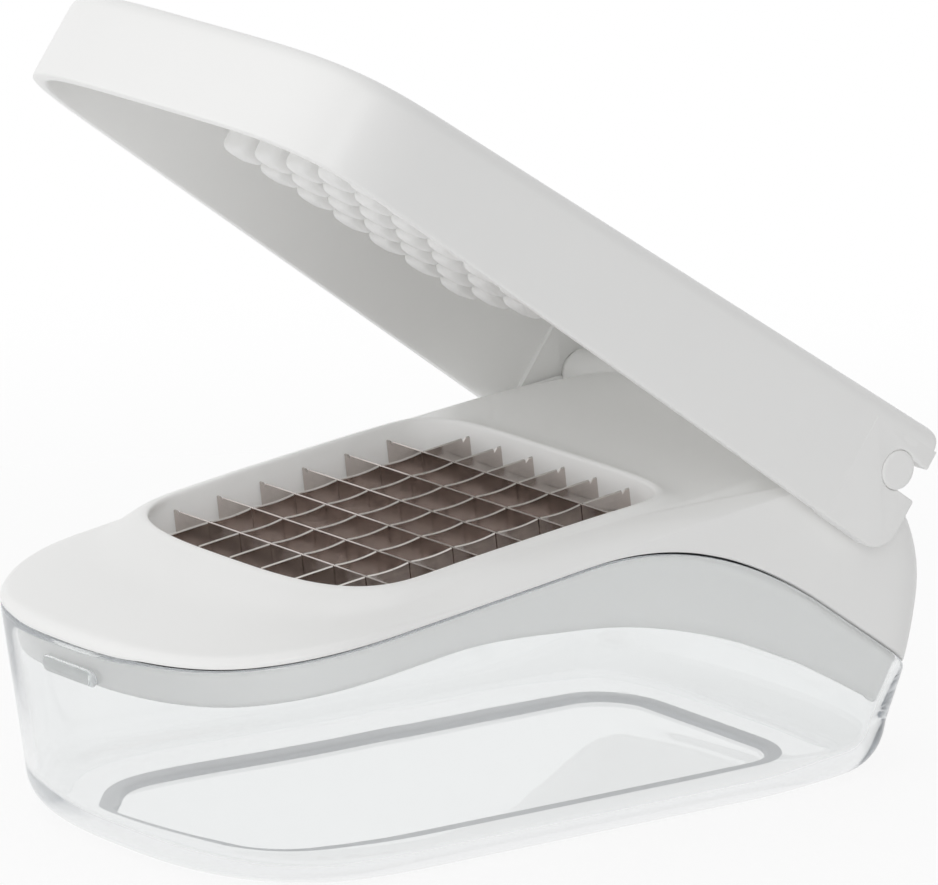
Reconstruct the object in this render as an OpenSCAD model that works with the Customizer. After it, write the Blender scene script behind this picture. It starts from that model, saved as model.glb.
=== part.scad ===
// Lever chopper for vegetables: clear container, white body with a blade grid, hinged press lid.
// Millimetres. X runs from the front (-X) to the hinge (+X), Z is up, the table is Z = 0.

/* [Blade grid] */
// Width of the frame that holds the ends of the blade strips
frame_band = 7.6; // [7:0.1:8]
// Slope of the blade grid, rising to the hinge
grid_tilt = 7.1; // [6.6:0.1:7.6]
// Height of the middle of the cutting edges above the table
grid_height = 63; // [62.5:0.1:63.5]
// Thickness of the blade strips
blade_thickness = 0.5; // [0.4:0.05:0.7]
// Height of the blade strips
blade_depth = 10.5; // [9.5:0.1:11.5]
// Depth of the hollows between the teeth of the lengthwise strips
scallop_depth = 0.4; // [0.3:0.1:0.8]

/* [Container and body] */
// Length of the body, front to rear
body_length = 200; // [198:0.5:202]
// Distance from the blade frame to the side of the body
flank_room = 7.3; // [7:0.1:8]
// Distance from the hinge axis to the rear of the body
hinge_inset = 22.2; // [21.5:0.1:23]
// Height of the container at its front
front_height = 48; // [46.5:0.5:49]
// Height of the container at the crest of its wavy rim
crest_height = 60.5; // [59.5:0.5:61]
// Height of the container at its rear
rear_height = 19.5; // [19:0.5:21]
// Thickness of the clear wall
container_wall = 2; // [1.6:0.1:2.4]
// Thickness of the container floor
floor_thickness = 2.4; // [2:0.1:3]
// Rounding along the bottom edge at the sides; it grows to both ends
bottom_round = 5.4; // [4.8:0.2:6.2]
// How far the middle of the container floor lies below its border
panel_drop = 1.4; // [1:0.1:1.6]
// Thickness of the body shell
body_wall = 2.4; // [2:0.1:2.8]
// Play between the body skirt and the container
skirt_gap = 0.45; // [0.4:0.05:0.6]

/* [Lid] */
// Distance from the hinge axis to the front of the lid
lid_reach = 179; // [178:0.5:181]
// Width of the lid across the ears
lid_width = 118.4; // [114:0.2:124]
// Thickness of the ears that hold the hinge pins
ear_thickness = 4.2; // [4:0.1:5]
// Depth of the lid rim below the hinge axis
lid_drop = 17.5; // [17:0.1:17.6]
// Height of the lid top above the hinge axis, at the hinge
lid_rise = 12; // [11.5:0.1:13]
// Thickness of the lid walls
lid_wall = 3; // [2.6:0.1:3.2]
// Angle to which the lid stands open above the horizontal
lid_angle = 35.85; // [30:0.05:45]
// Gap between neighbouring pusher posts
post_gap = 3.3; // [3.1:0.1:4]
// Depth of the middle post tips below the hinge axis
post_drop = 8.2; // [7.6:0.1:8.6]

/* [Hinge] */
// Radius of the hinge pins
pin_radius = 4.4; // [4:0.1:4.6]
// Play of the ears around the hinge pins
pin_play = 0.06; // [0.03:0.01:0.09]
// Radius of the hinge barrel on the body
barrel_radius = 5.9; // [5.7:0.1:6.2]

/* [Hidden] */
// Steps around the front, along each side and around the rear of every outline
front_n = 32;
side_n = 12;
tail_n = 24;
ring_n = front_n + tail_n + 2 * side_n;

// Widths, from the ears of the lid in to the cells of the grid
ear_play = 0.5;
blade_seat = 2.03;
cells = 7;
ear_outer = lid_width / 2;
ear_inner = ear_outer - ear_thickness;
half_width = ear_inner - ear_play;
frame_outer = half_width - flank_room;
frame_inner = frame_outer - frame_band;
blade_half = frame_inner + blade_seat;
pitch = (2 * frame_inner + 1.3) / cells;
post_width = pitch - post_gap;

// Lengths, from the rear of the body to the middle of the grid
front_x = -body_length / 2;
rear_x = body_length / 2;
seam_rear = rear_x - 4;
seam_nose = 50;
seam_tail = 18;
rear_swell = 41;
hinge_x = rear_x - hinge_inset;
grid_reach = 91.3;
grid_x = hinge_x - grid_reach;
crest_x = grid_x + 22.5;

// Fastening of the blade frame under the lip of the opening
frame_top = 6.5;
retainer_thick = 2;
screw_place = frame_outer - 2.4;
screw_radius = 1.25;
head_radius = 2.4;
head_height = 1.2;

// Hinge and lid
hinge_z = grid_height + 7.6;
ear_rear = 8;
ear_corner = 6.5;
boss_front = 11;
barrel_half = half_width - 1;
pin_seat = 9;
lid_slope = 0.047;
lid_nose = 40;
lid_taper = 0.03;

function smooth(t) = t <= 0 ? 0 : t >= 1 ? 1 : t * t * (3 - 2 * t);
function mix(a, b, t) = a + (b - a) * t;
function power(v, e) = sign(v) * pow(abs(v), 2 / e);

// Height of the blade plane at a place along the body
function plane(x) = grid_height + (x - grid_x) * tan(grid_tilt);

// A point given along the tilted grid, across it and above it
function tilted(a, y, h) = [grid_x + a * cos(grid_tilt) - h * sin(grid_tilt), y,
                            grid_height + a * sin(grid_tilt) + h * cos(grid_tilt)];

// Wavy seam between container and body: a straight climb with soft ends, highest past the middle
seam_front_flat = front_x + 4;
seam_rear_flat = seam_rear - 2.5;
climb_start = 0.12;
climb_end = 0.1;
climb_rate = 1 / (1 - (climb_start + climb_end) / 2);
function climb(t) = t <= 0 ? 0 : t >= 1 ? 1
    : t < climb_start ? climb_rate * t * t / (2 * climb_start)
    : t > 1 - climb_end ? 1 - climb_rate * (1 - t) * (1 - t) / (2 * climb_end)
    : climb_rate * (t - climb_start / 2);
fall_bend = 0.62;
function fall(t) = t <= 0 ? 0 : t >= 1 ? 1
    : t < fall_bend ? t * t / (fall_bend * (2 - fall_bend)) : (2 * t - fall_bend) / (2 - fall_bend);
function seam(x) = x < crest_x
    ? mix(front_height, crest_height, climb((x - seam_front_flat) / (crest_x - seam_front_flat)))
    : mix(crest_height, rear_height, fall((x - crest_x) / (seam_rear_flat - crest_x)));

// The body rests on the rim at both ends and stands clear of it along the waves
function seam_gap(x) = 0.45 * smooth((x - front_x - 1.2) / 2.4) * smooth((seam_rear - 1 - x) / 1.4);
function skirt_depth(x) = 8.5 + 8.5 * pow(max(0, 1 - pow((x - crest_x - 22) / 68, 2)), 2);

// Outline of a shell, anticlockwise from above: far side, front, near side, rear
function outline(front, rear, half, nose, nose_e, tail, tail_e) = concat(
    [for (i = [0:front_n]) let (t = 90 + 180 * i / front_n)
        [front + nose + nose * power(cos(t), nose_e), half * power(sin(t), nose_e)]],
    [for (i = [1:side_n - 1]) [mix(front + nose, rear - tail, i / side_n), -half]],
    [for (i = [0:tail_n]) let (t = -90 + 180 * i / tail_n)
        [rear - tail + tail * power(cos(t), tail_e), half * power(sin(t), tail_e)]],
    [for (i = [1:side_n - 1]) [mix(rear - tail, front + nose, i / side_n), half]]);

// Outline of the seam and of the foot of the container wall, drawn in by a given amount
function seam_line(inset) = outline(front_x + inset, seam_rear - inset, half_width - inset,
    seam_nose - inset, 2.5, seam_tail - inset, 2.6);
function foot_line(inset) = outline(front_x + 9 + inset, seam_rear - 3.9 - inset, half_width - 0.4 - inset,
    seam_nose - 9 - inset, 2.65, seam_tail + 3.4 - inset, 2.7);
function foot_round(x) = bottom_round + 4 * smooth((front_x + 60 - x) / 50)
    + 7 * smooth((x - rear_x + 55) / 45);

// Faces of a skin of rings; the first ring is closed facing down and the last facing up
function band(i, k) = [for (j = [0:ring_n - 1]) let (n = (j + 1) % ring_n)
    each [[i * ring_n + j, k * ring_n + j, k * ring_n + n],
        [i * ring_n + j, k * ring_n + n, i * ring_n + n]]];
function middle(ring) = [for (c = [0:2]) (min([for (q = ring) q[c]]) + max([for (q = ring) q[c]])) / 2];
module skin(rings) {
    last = len(rings) - 1;
    count = len(rings) * ring_n;
    points = concat([for (r = rings) each r], [middle(rings[0]), middle(rings[last])]);
    faces = concat(
        [for (i = [0:last - 1]) each band(i, i + 1)],
        [for (j = [0:ring_n - 1]) [count, j, (j + 1) % ring_n]],
        [for (j = [0:ring_n - 1]) [count + 1, last * ring_n + (j + 1) % ring_n, last * ring_n + j]]);
    polyhedron(points = points, faces = faces);
}

// A skin whose last ring joins its first, with a hole through it
module hoop(rings) {
    points = [for (r = rings) each r];
    faces = [for (i = [0:len(rings) - 1]) each band(i, (i + 1) % len(rings))];
    polyhedron(points = points, faces = faces);
}

// Square with rounded corners, drawn with true arcs
module rounded_square(half_x, half_y, r) {
    square([2 * half_x, 2 * (half_y - r)], center = true);
    square([2 * (half_x - r), 2 * half_y], center = true);
    for (sx = [-1, 1]) {
        for (sy = [-1, 1]) {
            translate([sx * (half_x - r), sy * (half_y - r)]) circle(r = r, $fn = 48);
        }
    }
}

module on_grid() {
    translate([grid_x, 0, grid_height]) rotate([0, -grid_tilt, 0]) children();
}

module on_lid() {
    translate([hinge_x, 0, hinge_z]) rotate([0, lid_angle, 0]) children();
}

module across(radius, from, to) {
    translate([0, from, 0]) rotate([-90, 0, 0]) cylinder(r = radius, h = to - from, $fn = 64);
}

// Clear container

function ring_at(line, z) = [for (q = line) [q[0], q[1], z]];
function seam_ring(inset, dz) = [for (q = seam_line(inset)) [q[0], q[1], seam(q[0]) + dz]];

// Ring on the outer rounding of the foot, from flat under the floor at 0 to upright at 90 degrees
function foot_ring(a) = let (edge = foot_line(0), deep = foot_line(10))
    [for (j = [0:ring_n - 1]) let (r = foot_round(edge[j][0]), k = r * (1 - sin(a)) / 10)
        [mix(edge[j][0], deep[j][0], k), mix(edge[j][1], deep[j][1], k), r * (1 - cos(a))]];

// Ring on the inner rounding between wall and floor, from the wall at 0 to the floor at 90 degrees
function well_ring(a) = let (edge = foot_line(0), deep = foot_line(10))
    [for (j = [0:ring_n - 1]) let (
        r = foot_round(edge[j][0]),
        k = (container_wall + (r + 1 - container_wall) * (1 - cos(a))) / 10)
        [mix(edge[j][0], deep[j][0], k), mix(edge[j][1], deep[j][1], k), floor_thickness + r * (1 - sin(a))]];

module container() {
    w = container_wall;
    color([0.86, 0.9, 0.92, 0.4]) difference() {
        union() {
            skin([
                foot_ring(0),
                foot_ring(30),
                foot_ring(60),
                foot_ring(90),
                seam_ring(0.4, -0.7),
                seam_ring(0.6, 0),
                seam_ring(w, 0),
                well_ring(0),
                well_ring(30),
                well_ring(60),
                well_ring(90)
            ]);
            catch_boss();
        }
        translate([-2.5, 0, floor_thickness - panel_drop]) linear_extrude(height = panel_drop + 1)
            rounded_square(rear_x - 30.5, half_width - 23, 12);
    }
}

// Oblong catch moulded on the front wall, just under the rim
module catch_boss() {
    translate([front_x + 0.9, 0, front_height - 5.8]) rotate([0, 90, 0]) linear_extrude(height = 2) {
        square([3.8, 16], center = true);
        translate([0, 8]) circle(d = 3.8, $fn = 32);
        translate([0, -8]) circle(d = 3.8, $fn = 32);
    }
}

// White body

// Share of the front form: 1 around the nose, 0 along the flanks
function at_front(x) = 1 - smooth((x - front_x - 20) / 60);

// Top of the flank under the deck crease: low around the front, dipping behind the hinge
function rear_drop(x) = 13.5 * smooth((x - hinge_x + 3.8) / seam_tail);
function low_crease(x) = seam(x) + 1.2 + 2.2 * at_front(x);
function high_crease(x) = plane(x) - 3 - rear_drop(x);
function crease(x) = let (low = low_crease(x))
    max(low, mix(low, high_crease(x), smooth((x - crest_x + 54) / 60)));

// Deck between the crease and the lip of the opening, with a hump over the hinge axis
function hump(x) = 2.2 * smooth((x - hinge_x + 13) / 12) * (1 - smooth((x - hinge_x - 1) / 10));
lip_dip = 1;
function front_dip(x) = lip_dip * smooth((grid_x - x) / 45);
function deck(x) = plane(x) + 1.7 - 0.028 * min(frame_outer, max(-frame_outer, x - grid_x))
    + hump(x) - front_dip(x);
function sag(x) = 2.3 * smooth((grid_x - x) / 45);
function shoulder(x) = mix(1, 0.36, smooth((x - seam_rear + 20) / 14));
function crown(x) = mix(1.5, 2, smooth((x - grid_x + 46.5) / 40));

// Ring on the deck: 0 is the crease, 1 the foot of the lip
function deck_ring(t) = let (edge = flank_ring(0.5, -3.5, 1), lip = lip_line(frame_outer - 0.4))
    [for (j = [0:ring_n - 1]) let (
        e = edge[j],
        x = mix(e[0], grid_x + lip[j][0] * cos(grid_tilt), t),
        y = mix(e[1], lip[j][1], t),
        rest = max(0, 1 - t / shoulder(e[0])),
        fall = (deck(e[0]) - sag(e[0]) - e[2]) * pow(rest, crown(e[0])))
        [x, y, deck(x) - sag(e[0]) * smooth((1 - t) / 0.35) - fall]];

// A ring around the cutter opening, at a height above the blade plane that falls to the rear
function lip_line(half) = outline(-half, half, half, 0.5 * half, 3.1, 0.46 * half, 5);
function lip_ring(half, h, slope) = [for (q = lip_line(half))
    tilted(q[0], q[1], h - slope * q[0] - lip_dip * smooth(-(q[0] + 5) / 40))];

// A ring of the seat for the blade frame under the lip
function seat_line(half) = outline(-half, half, half, 0.46 * half, 5, 0.46 * half, 5);
function seat_ring(half, h) = [for (q = seat_line(half)) tilted(q[0], q[1], h)];

// Ring on the flank: 0 is the seam, 1 the crease; the front is drawn in to a round edge
front_edge = 2.4;
function flank_ring(inset, rear, t) = let (low = seam_line(inset), deep = seam_line(inset + front_edge))
    [for (j = [0:ring_n - 1]) let (
        q = low[j],
        k = at_front(q[0]) * (1 - sqrt(max(0, 1 - t * t))),
        x = q[0] + rear * smooth((q[0] - seam_rear + rear_swell) / rear_swell))
        [mix(x, deep[j][0], k), mix(q[1], deep[j][1], k), mix(seam(q[0]) + seam_gap(q[0]), crease(q[0]), t)]];

// The skirt runs down inside the container wall
function skirt_top(inset) = [for (q = seam_line(inset)) [q[0], q[1], seam(q[0]) + seam_gap(q[0])]];
function skirt_line(q_top, q_foot, x) = let (
    base = floor_thickness + foot_round(q_foot[0]),
    z = max(seam(x) - skirt_depth(x), base + 0.4),
    t = (z - base) / (seam(x) - base))
    [mix(q_foot[0], q_top[0], t), mix(q_foot[1], q_top[1], t), z];
function skirt_ring(inset) = let (top = seam_line(inset), foot = foot_line(inset))
    [for (j = [0:ring_n - 1]) skirt_line(top[j], foot[j], top[j][0])];

// Underside of the deck where it meets the inner face of the skirt
function under_ring(inset) = let (
    edge = flank_ring(0.5, -3.5, 1),
    line = seam_line(inset),
    lip = lip_line(frame_outer - 0.4))
    [for (j = [0:ring_n - 1]) let (
        e = edge[j],
        x = line[j][0],
        t = min(0.7, norm([e[0] - line[j][0], e[1] - line[j][1]])
            / norm([e[0] - grid_x - lip[j][0] * cos(grid_tilt), e[1] - lip[j][1]])),
        rest = max(0, 1 - t / shoulder(e[0])),
        fall = (deck(e[0]) - sag(e[0]) - e[2]) * pow(rest, crown(e[0])))
        [x, line[j][1], max(seam(x) + 0.8, deck(x) - hump(x) - sag(e[0]) - fall - body_wall - 0.6)]];

module body() {
    inner = container_wall + skirt_gap;
    color([0.93, 0.93, 0.93]) difference() {
        union() {
            translate([hinge_x, 0, hinge_z]) across(barrel_radius, -barrel_half, barrel_half);
            hoop([
                flank_ring(0.5, 0, 0),
                flank_ring(0.3, 2.4, 0.25),
                flank_ring(0.3, 4, 0.45),
                flank_ring(0.4, 2.6, 0.75),
                flank_ring(0.5, -3.5, 1),
                deck_ring(0.04),
                deck_ring(0.1),
                deck_ring(0.18),
                deck_ring(0.28),
                deck_ring(0.42),
                deck_ring(0.65),
                deck_ring(0.85),
                lip_ring(frame_outer - 0.8, 1.95, 0.029),
                lip_ring(frame_outer - 2, 2.35, 0.03),
                lip_ring(frame_outer - 2.9, 2, 0.03),
                seat_ring(frame_outer - 3.7, -0.6),
                seat_ring(frame_outer - 4.6, -frame_top),
                seat_ring(frame_outer, -frame_top),
                seat_ring(frame_outer, -3.6),
                under_ring(inner + body_wall),
                skirt_ring(inner + body_wall),
                skirt_ring(inner),
                skirt_top(inner)
            ]);
        }
        hinge_bores();
        on_grid() screw_holes(-14, -2.6, screw_radius);
    }
}

module hinge_bores() {
    translate([hinge_x, 0, hinge_z]) {
        across(pin_radius, barrel_half - pin_seat, barrel_half + 3);
        across(pin_radius, -barrel_half - 3, -barrel_half + pin_seat);
    }
}

// Blade frame, retainer and screws

// One at the middle of each side of the opening
module screw_holes(from, to, radius) {
    for (turn = [0:90:270]) {
        rotate(turn) translate([screw_place, 0, from]) cylinder(r = radius, h = to - from, $fn = 32);
    }
}

function strip_place(i) = (i - cells / 2) * pitch;

module blade_frame() {
    slot = blade_thickness;
    color([0.9, 0.9, 0.9]) on_grid() difference() {
        translate([0, 0, -blade_depth]) linear_extrude(height = blade_depth - frame_top) difference() {
            rounded_square(frame_outer, frame_outer, 8);
            rounded_square(frame_inner, frame_inner, 3);
        }
        for (i = [1:cells - 1]) {
            translate([strip_place(i) - slot / 2, -blade_half, -blade_depth - 1])
                cube([slot, 2 * blade_half, blade_depth]);
            translate([-blade_half, strip_place(i) - slot / 2, -blade_depth - 1])
                cube([2 * blade_half, slot, blade_depth]);
        }
        screw_holes(-blade_depth - 1, 0, screw_radius);
    }
}

module blade_retainer() {
    bottom = -blade_depth - retainer_thick;
    color([0.9, 0.9, 0.9]) on_grid() difference() {
        translate([0, 0, bottom]) linear_extrude(height = retainer_thick) difference() {
            rounded_square(frame_outer, frame_outer, 8);
            rounded_square(frame_inner, frame_inner, 3);
        }
        screw_holes(bottom - 1, -blade_depth + 1, screw_radius);
        screw_holes(bottom - 1, bottom + head_height, head_radius);
    }
}

module frame_screws() {
    color([0.7, 0.7, 0.72]) on_grid() {
        screw_holes(-blade_depth - retainer_thick + head_height - 0.6, -3, screw_radius);
        screw_holes(-blade_depth - retainer_thick, -blade_depth - retainer_thick + head_height, head_radius);
    }
}

// Blade strips

// A strip drawn along X with its cutting edge at Z = 0; the slots let the strips cross
module strip_shape() {
    notch = 1.1;
    difference() {
        translate([-blade_half, -blade_depth]) square([2 * blade_half, blade_depth]);
        for (s = [-1, 1]) {
            translate([s * (blade_half - 1.6), 0]) rotate(45) square(notch, center = true);
        }
    }
}

module cross_slots(from, to) {
    for (i = [1:cells - 1]) {
        translate([strip_place(i) - blade_thickness / 2 - 0.05, from])
            square([blade_thickness + 0.1, to - from]);
    }
}

module cross_blade(i) {
    place = strip_place(i) - blade_thickness / 2;
    color([0.72, 0.7, 0.68]) on_grid() translate([place, 0, 0]) rotate([90, 0, 90])
        linear_extrude(height = blade_thickness) difference() {
            strip_shape();
            cross_slots(-blade_depth - 1, -blade_depth / 2);
        }
}

module long_blade(i) {
    chord = pitch / 2;
    bow = (chord * chord + scallop_depth * scallop_depth) / (2 * scallop_depth);
    place = strip_place(i) + blade_thickness / 2;
    color([0.72, 0.7, 0.68]) on_grid() translate([0, place, 0]) rotate([90, 0, 0])
        linear_extrude(height = blade_thickness) difference() {
            strip_shape();
            cross_slots(-blade_depth / 2, 1);
            for (k = [1:cells - 2]) {
                translate([strip_place(k) + chord, bow - scallop_depth]) circle(r = bow, $fn = 96);
            }
        }
}

// Press lid

function lid_line(inset) = [for (q = outline(-lid_reach + inset, ear_rear - inset, ear_outer - inset,
        lid_nose - inset, 4.5, 2.4 - min(inset, 1.6), 4))
    [q[0], q[1] * (1 - lid_taper * max(0, -q[0]) / lid_reach)]];
function lid_top(x) = lid_rise + lid_slope * x;
function lid_ring(inset, drop) = [for (q = lid_line(inset)) [q[0], q[1], lid_top(q[0]) - drop]];

module lid() {
    r = 4.2;
    w = lid_wall;
    color([0.94, 0.94, 0.94]) on_lid() difference() {
        union() {
            skin([
                lid_ring(w + 3, w),
                lid_ring(w + 0.9, w + 0.7),
                lid_ring(w, w + 3),
                ring_at(lid_line(w), -lid_drop),
                ring_at(lid_line(0), -lid_drop),
                lid_ring(0, r),
                lid_ring(r * (1 - cos(22.5)), r * (1 - sin(22.5))),
                lid_ring(r * (1 - cos(45)), r * (1 - sin(45))),
                lid_ring(r * (1 - cos(67.5)), r * (1 - sin(67.5))),
                lid_ring(r, 0)
            ]);
            ear_bosses();
        }
        across(pin_radius + pin_play, -ear_outer - 1, -ear_inner + 1);
        across(pin_radius + pin_play, ear_inner - 1, ear_outer + 1);
        rear_cuts();
    }
}

module ear_bosses() {
    for (s = [-1, 1]) {
        translate([-boss_front, s > 0 ? ear_inner : -ear_outer + 1, -lid_drop])
            cube([boss_front + ear_rear - 0.2, ear_outer - 1 - ear_inner, lid_drop + lid_rise - 2.6]);
    }
}

// Open rear between the ears, snap slots and rounded lower corners of the ears
module rear_cuts() {
    neck = pin_radius - 0.8;
    deep = ear_outer - ear_inner + 2;
    tall = lid_drop + 1 + barrel_radius - 1.3;
    translate([-1, -ear_inner, -lid_drop - 1]) cube([ear_rear + 4, 2 * ear_inner, tall]);
    for (start = [ear_inner - 1, -ear_outer - 1]) {
        translate([0, start, -neck]) cube([ear_rear + 4, deep, 2 * neck]);
        translate([ear_rear - ear_corner, start, -lid_drop]) difference() {
            translate([0, 0, -1]) cube([ear_corner + 1, deep, ear_corner + 1]);
            translate([0, -1, ear_corner]) rotate([-90, 0, 0])
                cylinder(r = ear_corner, h = deep + 2, $fn = 48);
        }
    }
}

// Pusher with a post for each cell, its plate flat against the ceiling of the lid
module pusher() {
    along = hinge_x - grid_x;
    ceiling = lid_top(-along) - lid_wall;
    plate = 2;
    plate_half = cells * pitch / 2 + 3.75;
    reach = ceiling + post_drop;
    color([0.92, 0.92, 0.92]) on_lid() translate([-along, 0, ceiling]) rotate([0, -atan(lid_slope), 0]) {
        translate([0, 0, -plate]) linear_extrude(height = plate) rounded_square(plate_half, plate_half, 6);
        for (i = [0:cells - 1]) {
            for (k = [0:cells - 1]) {
                translate([strip_place(i + 0.5), strip_place(k + 0.5), -reach]) post(reach - plate);
            }
        }
    }
}

module post(height) {
    w = post_width;
    translate([0, 0, 1.2]) linear_extrude(height = height - 1) rounded_square(w / 2, w / 2, 2);
    rotate(45) cylinder(r1 = (w / 2 - 1.6) * sqrt(2), r2 = (w / 2 - 0.6) * sqrt(2), h = 1.3, $fn = 4);
}

// Hinge pins

module hinge_pin(s) {
    color([0.9, 0.9, 0.9]) translate([hinge_x, 0, hinge_z]) {
        if (s > 0) {
            across(pin_radius, barrel_half - pin_seat, ear_outer);
        } else {
            across(pin_radius, -ear_outer, -barrel_half + pin_seat);
        }
    }
}

strip_nodes = [for (i = [1:cells - 1]) each [str("cross_blade_", i), str("long_blade_", i)]];

container();
body();
blade_frame();
blade_retainer();
frame_screws();
hinge_pin(-1);  // hinge_pin_near
hinge_pin(1);  // hinge_pin_far
lid();
pusher();
cross_blade(1);  // cross_blade_1
cross_blade(2);  // cross_blade_2
cross_blade(3);  // cross_blade_3
cross_blade(4);  // cross_blade_4
cross_blade(5);  // cross_blade_5
cross_blade(6);  // cross_blade_6
long_blade(1);  // long_blade_1
long_blade(2);  // long_blade_2
long_blade(3);  // long_blade_3
long_blade(4);  // long_blade_4
long_blade(5);  // long_blade_5
long_blade(6);  // long_blade_6
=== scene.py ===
"""Lever chopper for vegetables: white moulded body and press lid, steel blade grid, clear container."""
import math

import bmesh
import bpy
import numpy as np
from mathutils import Matrix, Vector


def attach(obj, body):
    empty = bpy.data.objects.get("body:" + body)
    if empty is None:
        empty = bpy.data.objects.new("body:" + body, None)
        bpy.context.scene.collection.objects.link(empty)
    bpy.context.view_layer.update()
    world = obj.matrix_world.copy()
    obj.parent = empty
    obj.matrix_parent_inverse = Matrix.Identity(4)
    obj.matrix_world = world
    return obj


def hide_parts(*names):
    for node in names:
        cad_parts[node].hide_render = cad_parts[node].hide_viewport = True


bl_info = {
    "name": "Vegetable chopper",
    "version": (1, 0, 0),
    "blender": (4, 5, 0),
    "location": "View3D > Sidebar > Chopper",
    "description": "Dresses the packed chopper with its moulded, clear and steel surfaces",
    "category": "Object",
}

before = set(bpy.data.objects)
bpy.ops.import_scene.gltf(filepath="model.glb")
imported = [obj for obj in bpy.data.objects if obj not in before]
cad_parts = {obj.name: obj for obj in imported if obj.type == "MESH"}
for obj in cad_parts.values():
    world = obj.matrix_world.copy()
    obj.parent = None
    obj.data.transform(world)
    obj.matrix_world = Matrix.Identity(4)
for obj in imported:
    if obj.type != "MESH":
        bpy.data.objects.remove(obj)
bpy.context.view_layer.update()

# Points around the front, along each side and around the rear of every moulded outline.
FRONT_N, SIDE_N, TAIL_N = 96, 40, 64
BLADES = range(1, 7)
CELLS = 7
TO_METRES = Matrix.Scale(0.001, 4)
QUARTER = math.radians(90)
# Steps of a quarter round.
ARC = np.radians(np.arange(0, 91, 15))


def linear(code):
    """Linear colour of an sRGB hex value."""
    parts = [int(code[i:i + 2], 16) / 255 for i in (1, 3, 5)]
    return tuple(v / 12.92 if v <= 0.04045 else ((v + 0.055) / 1.055) ** 2.4 for v in parts)


def length_prop(name, default, text):
    """A length in metres for the sidebar."""
    return bpy.props.FloatProperty(name=name, description=text, default=default, unit="LENGTH")


def angle_prop(name, default, text):
    """An angle in degrees for the sidebar."""
    value = math.radians(default)
    return bpy.props.FloatProperty(name=name, description=text, default=value, unit="ROTATION")


def colour_prop(name, default, text):
    """A colour from a hex value for the sidebar."""
    value = linear(default)
    return bpy.props.FloatVectorProperty(name=name, description=text, default=value, subtype="COLOR")


class ChopperSizes(bpy.types.PropertyGroup):
    """Sizes that give the chopper its form"""
    body_length: length_prop("Body length", 0.2, "Front to rear of the body")
    body_width: length_prop("Body width", 0.109, "Width of rim and body")
    front_height: length_prop("Front height", 0.048, "Container height at the front")
    crest_height: length_prop("Crest height", 0.0605, "Container height at the crest of the rim")
    rear_height: length_prop("Rear height", 0.0195, "Container height at the rear")
    container_wall: length_prop("Container wall", 0.002, "Thickness of the clear wall")
    floor_thickness: length_prop("Floor", 0.0024, "Thickness of the container floor")
    bottom_round: length_prop("Bottom rounding", 0.0054, "Rounding along the bottom edge at the sides")
    panel_drop: length_prop("Floor panel", 0.0014, "Middle of the floor below its border")
    seam_open: length_prop("Seam", 0.0004, "Open line between rim and body")
    body_wall: length_prop("Body wall", 0.0024, "Thickness of the body shell")
    skirt_gap: length_prop("Skirt play", 0.00045, "Play between skirt and container")
    cell_pitch: length_prop("Cell pitch", 0.0115, "Pitch of the blade grid")
    grid_height: length_prop("Grid height", 0.063, "Middle of the cutting edges above the table")
    grid_tilt: angle_prop("Grid tilt", 7.1, "Slope of the grid, rising to the hinge")
    blade_thickness: length_prop("Blade thickness", 0.0005, "Thickness of the strips")
    blade_depth: length_prop("Blade depth", 0.0105, "Height of the strips")
    scallop_depth: length_prop("Scallop", 0.0004, "Hollow between two teeth")
    lid_reach: length_prop("Lid reach", 0.179, "Hinge axis to the lid's front")
    lid_width: length_prop("Lid width", 0.1184, "Width across the ears")
    lid_drop: length_prop("Lid drop", 0.0175, "Rim below the hinge axis")
    lid_rise: length_prop("Lid rise", 0.012, "Top above the hinge axis")
    lid_wall: length_prop("Lid wall", 0.003, "Thickness of the lid walls")
    lid_angle: angle_prop("Lid angle", 35.85, "How far the lid stands open")
    post_gap: length_prop("Post gap", 0.0033, "Gap between two posts")
    post_drop: length_prop("Post drop", 0.0082, "Middle post tips below the hinge axis")
    pin_radius: length_prop("Pin radius", 0.0044, "Radius of the hinge pins")


class ChopperColours(bpy.types.PropertyGroup):
    """Colours of the chopper's materials"""
    plastic: colour_prop("White plastic", "#F8F8F7", "Moulded body and lid")
    # Painted shadow: the groove's faces are coloured dark to stand for the shade in the seam.
    groove: colour_prop("Seam groove", "#2E2E30", "Dark groove behind the rim")
    clear: colour_prop("Clear plastic", "#F9FAFA", "Tint of the container")
    # Painted shade: the step is coloured grey to stand for the dark band that refraction shows around the
    # floor panel.
    step: colour_prop("Panel step", "#C2C4C7", "Matt step around the floor panel")
    steel: colour_prop("Steel", "#C9C1BD", "Faces of the blade strips")
    edge: colour_prop("Ground edge", "#D8D4D0", "Cutting edges")
    screw: colour_prop("Screw", "#B9B9BA", "Screws under the grid")


def add(tree, kind, settings=None, sockets=None):
    """Add a node with its settings; each socket takes a value or a link from another node's output."""
    made = tree.nodes.new(kind)
    for name, value in (settings or {}).items():
        setattr(made, name, value)
    for name, value in (sockets or {}).items():
        if isinstance(value, bpy.types.NodeSocket):
            tree.links.new(value, made.inputs[name])
        else:
            made.inputs[name].default_value = value
    return made


def new_material(name):
    """Node material with nothing in it yet."""
    material = bpy.data.materials.new(name)
    material.use_nodes = True
    material.node_tree.nodes.clear()
    return material, material.node_tree


def shade(colour, share):
    """A colour made lighter or darker, with full alpha."""
    return (*[min(1, c * share) for c in colour], 1)


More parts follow.
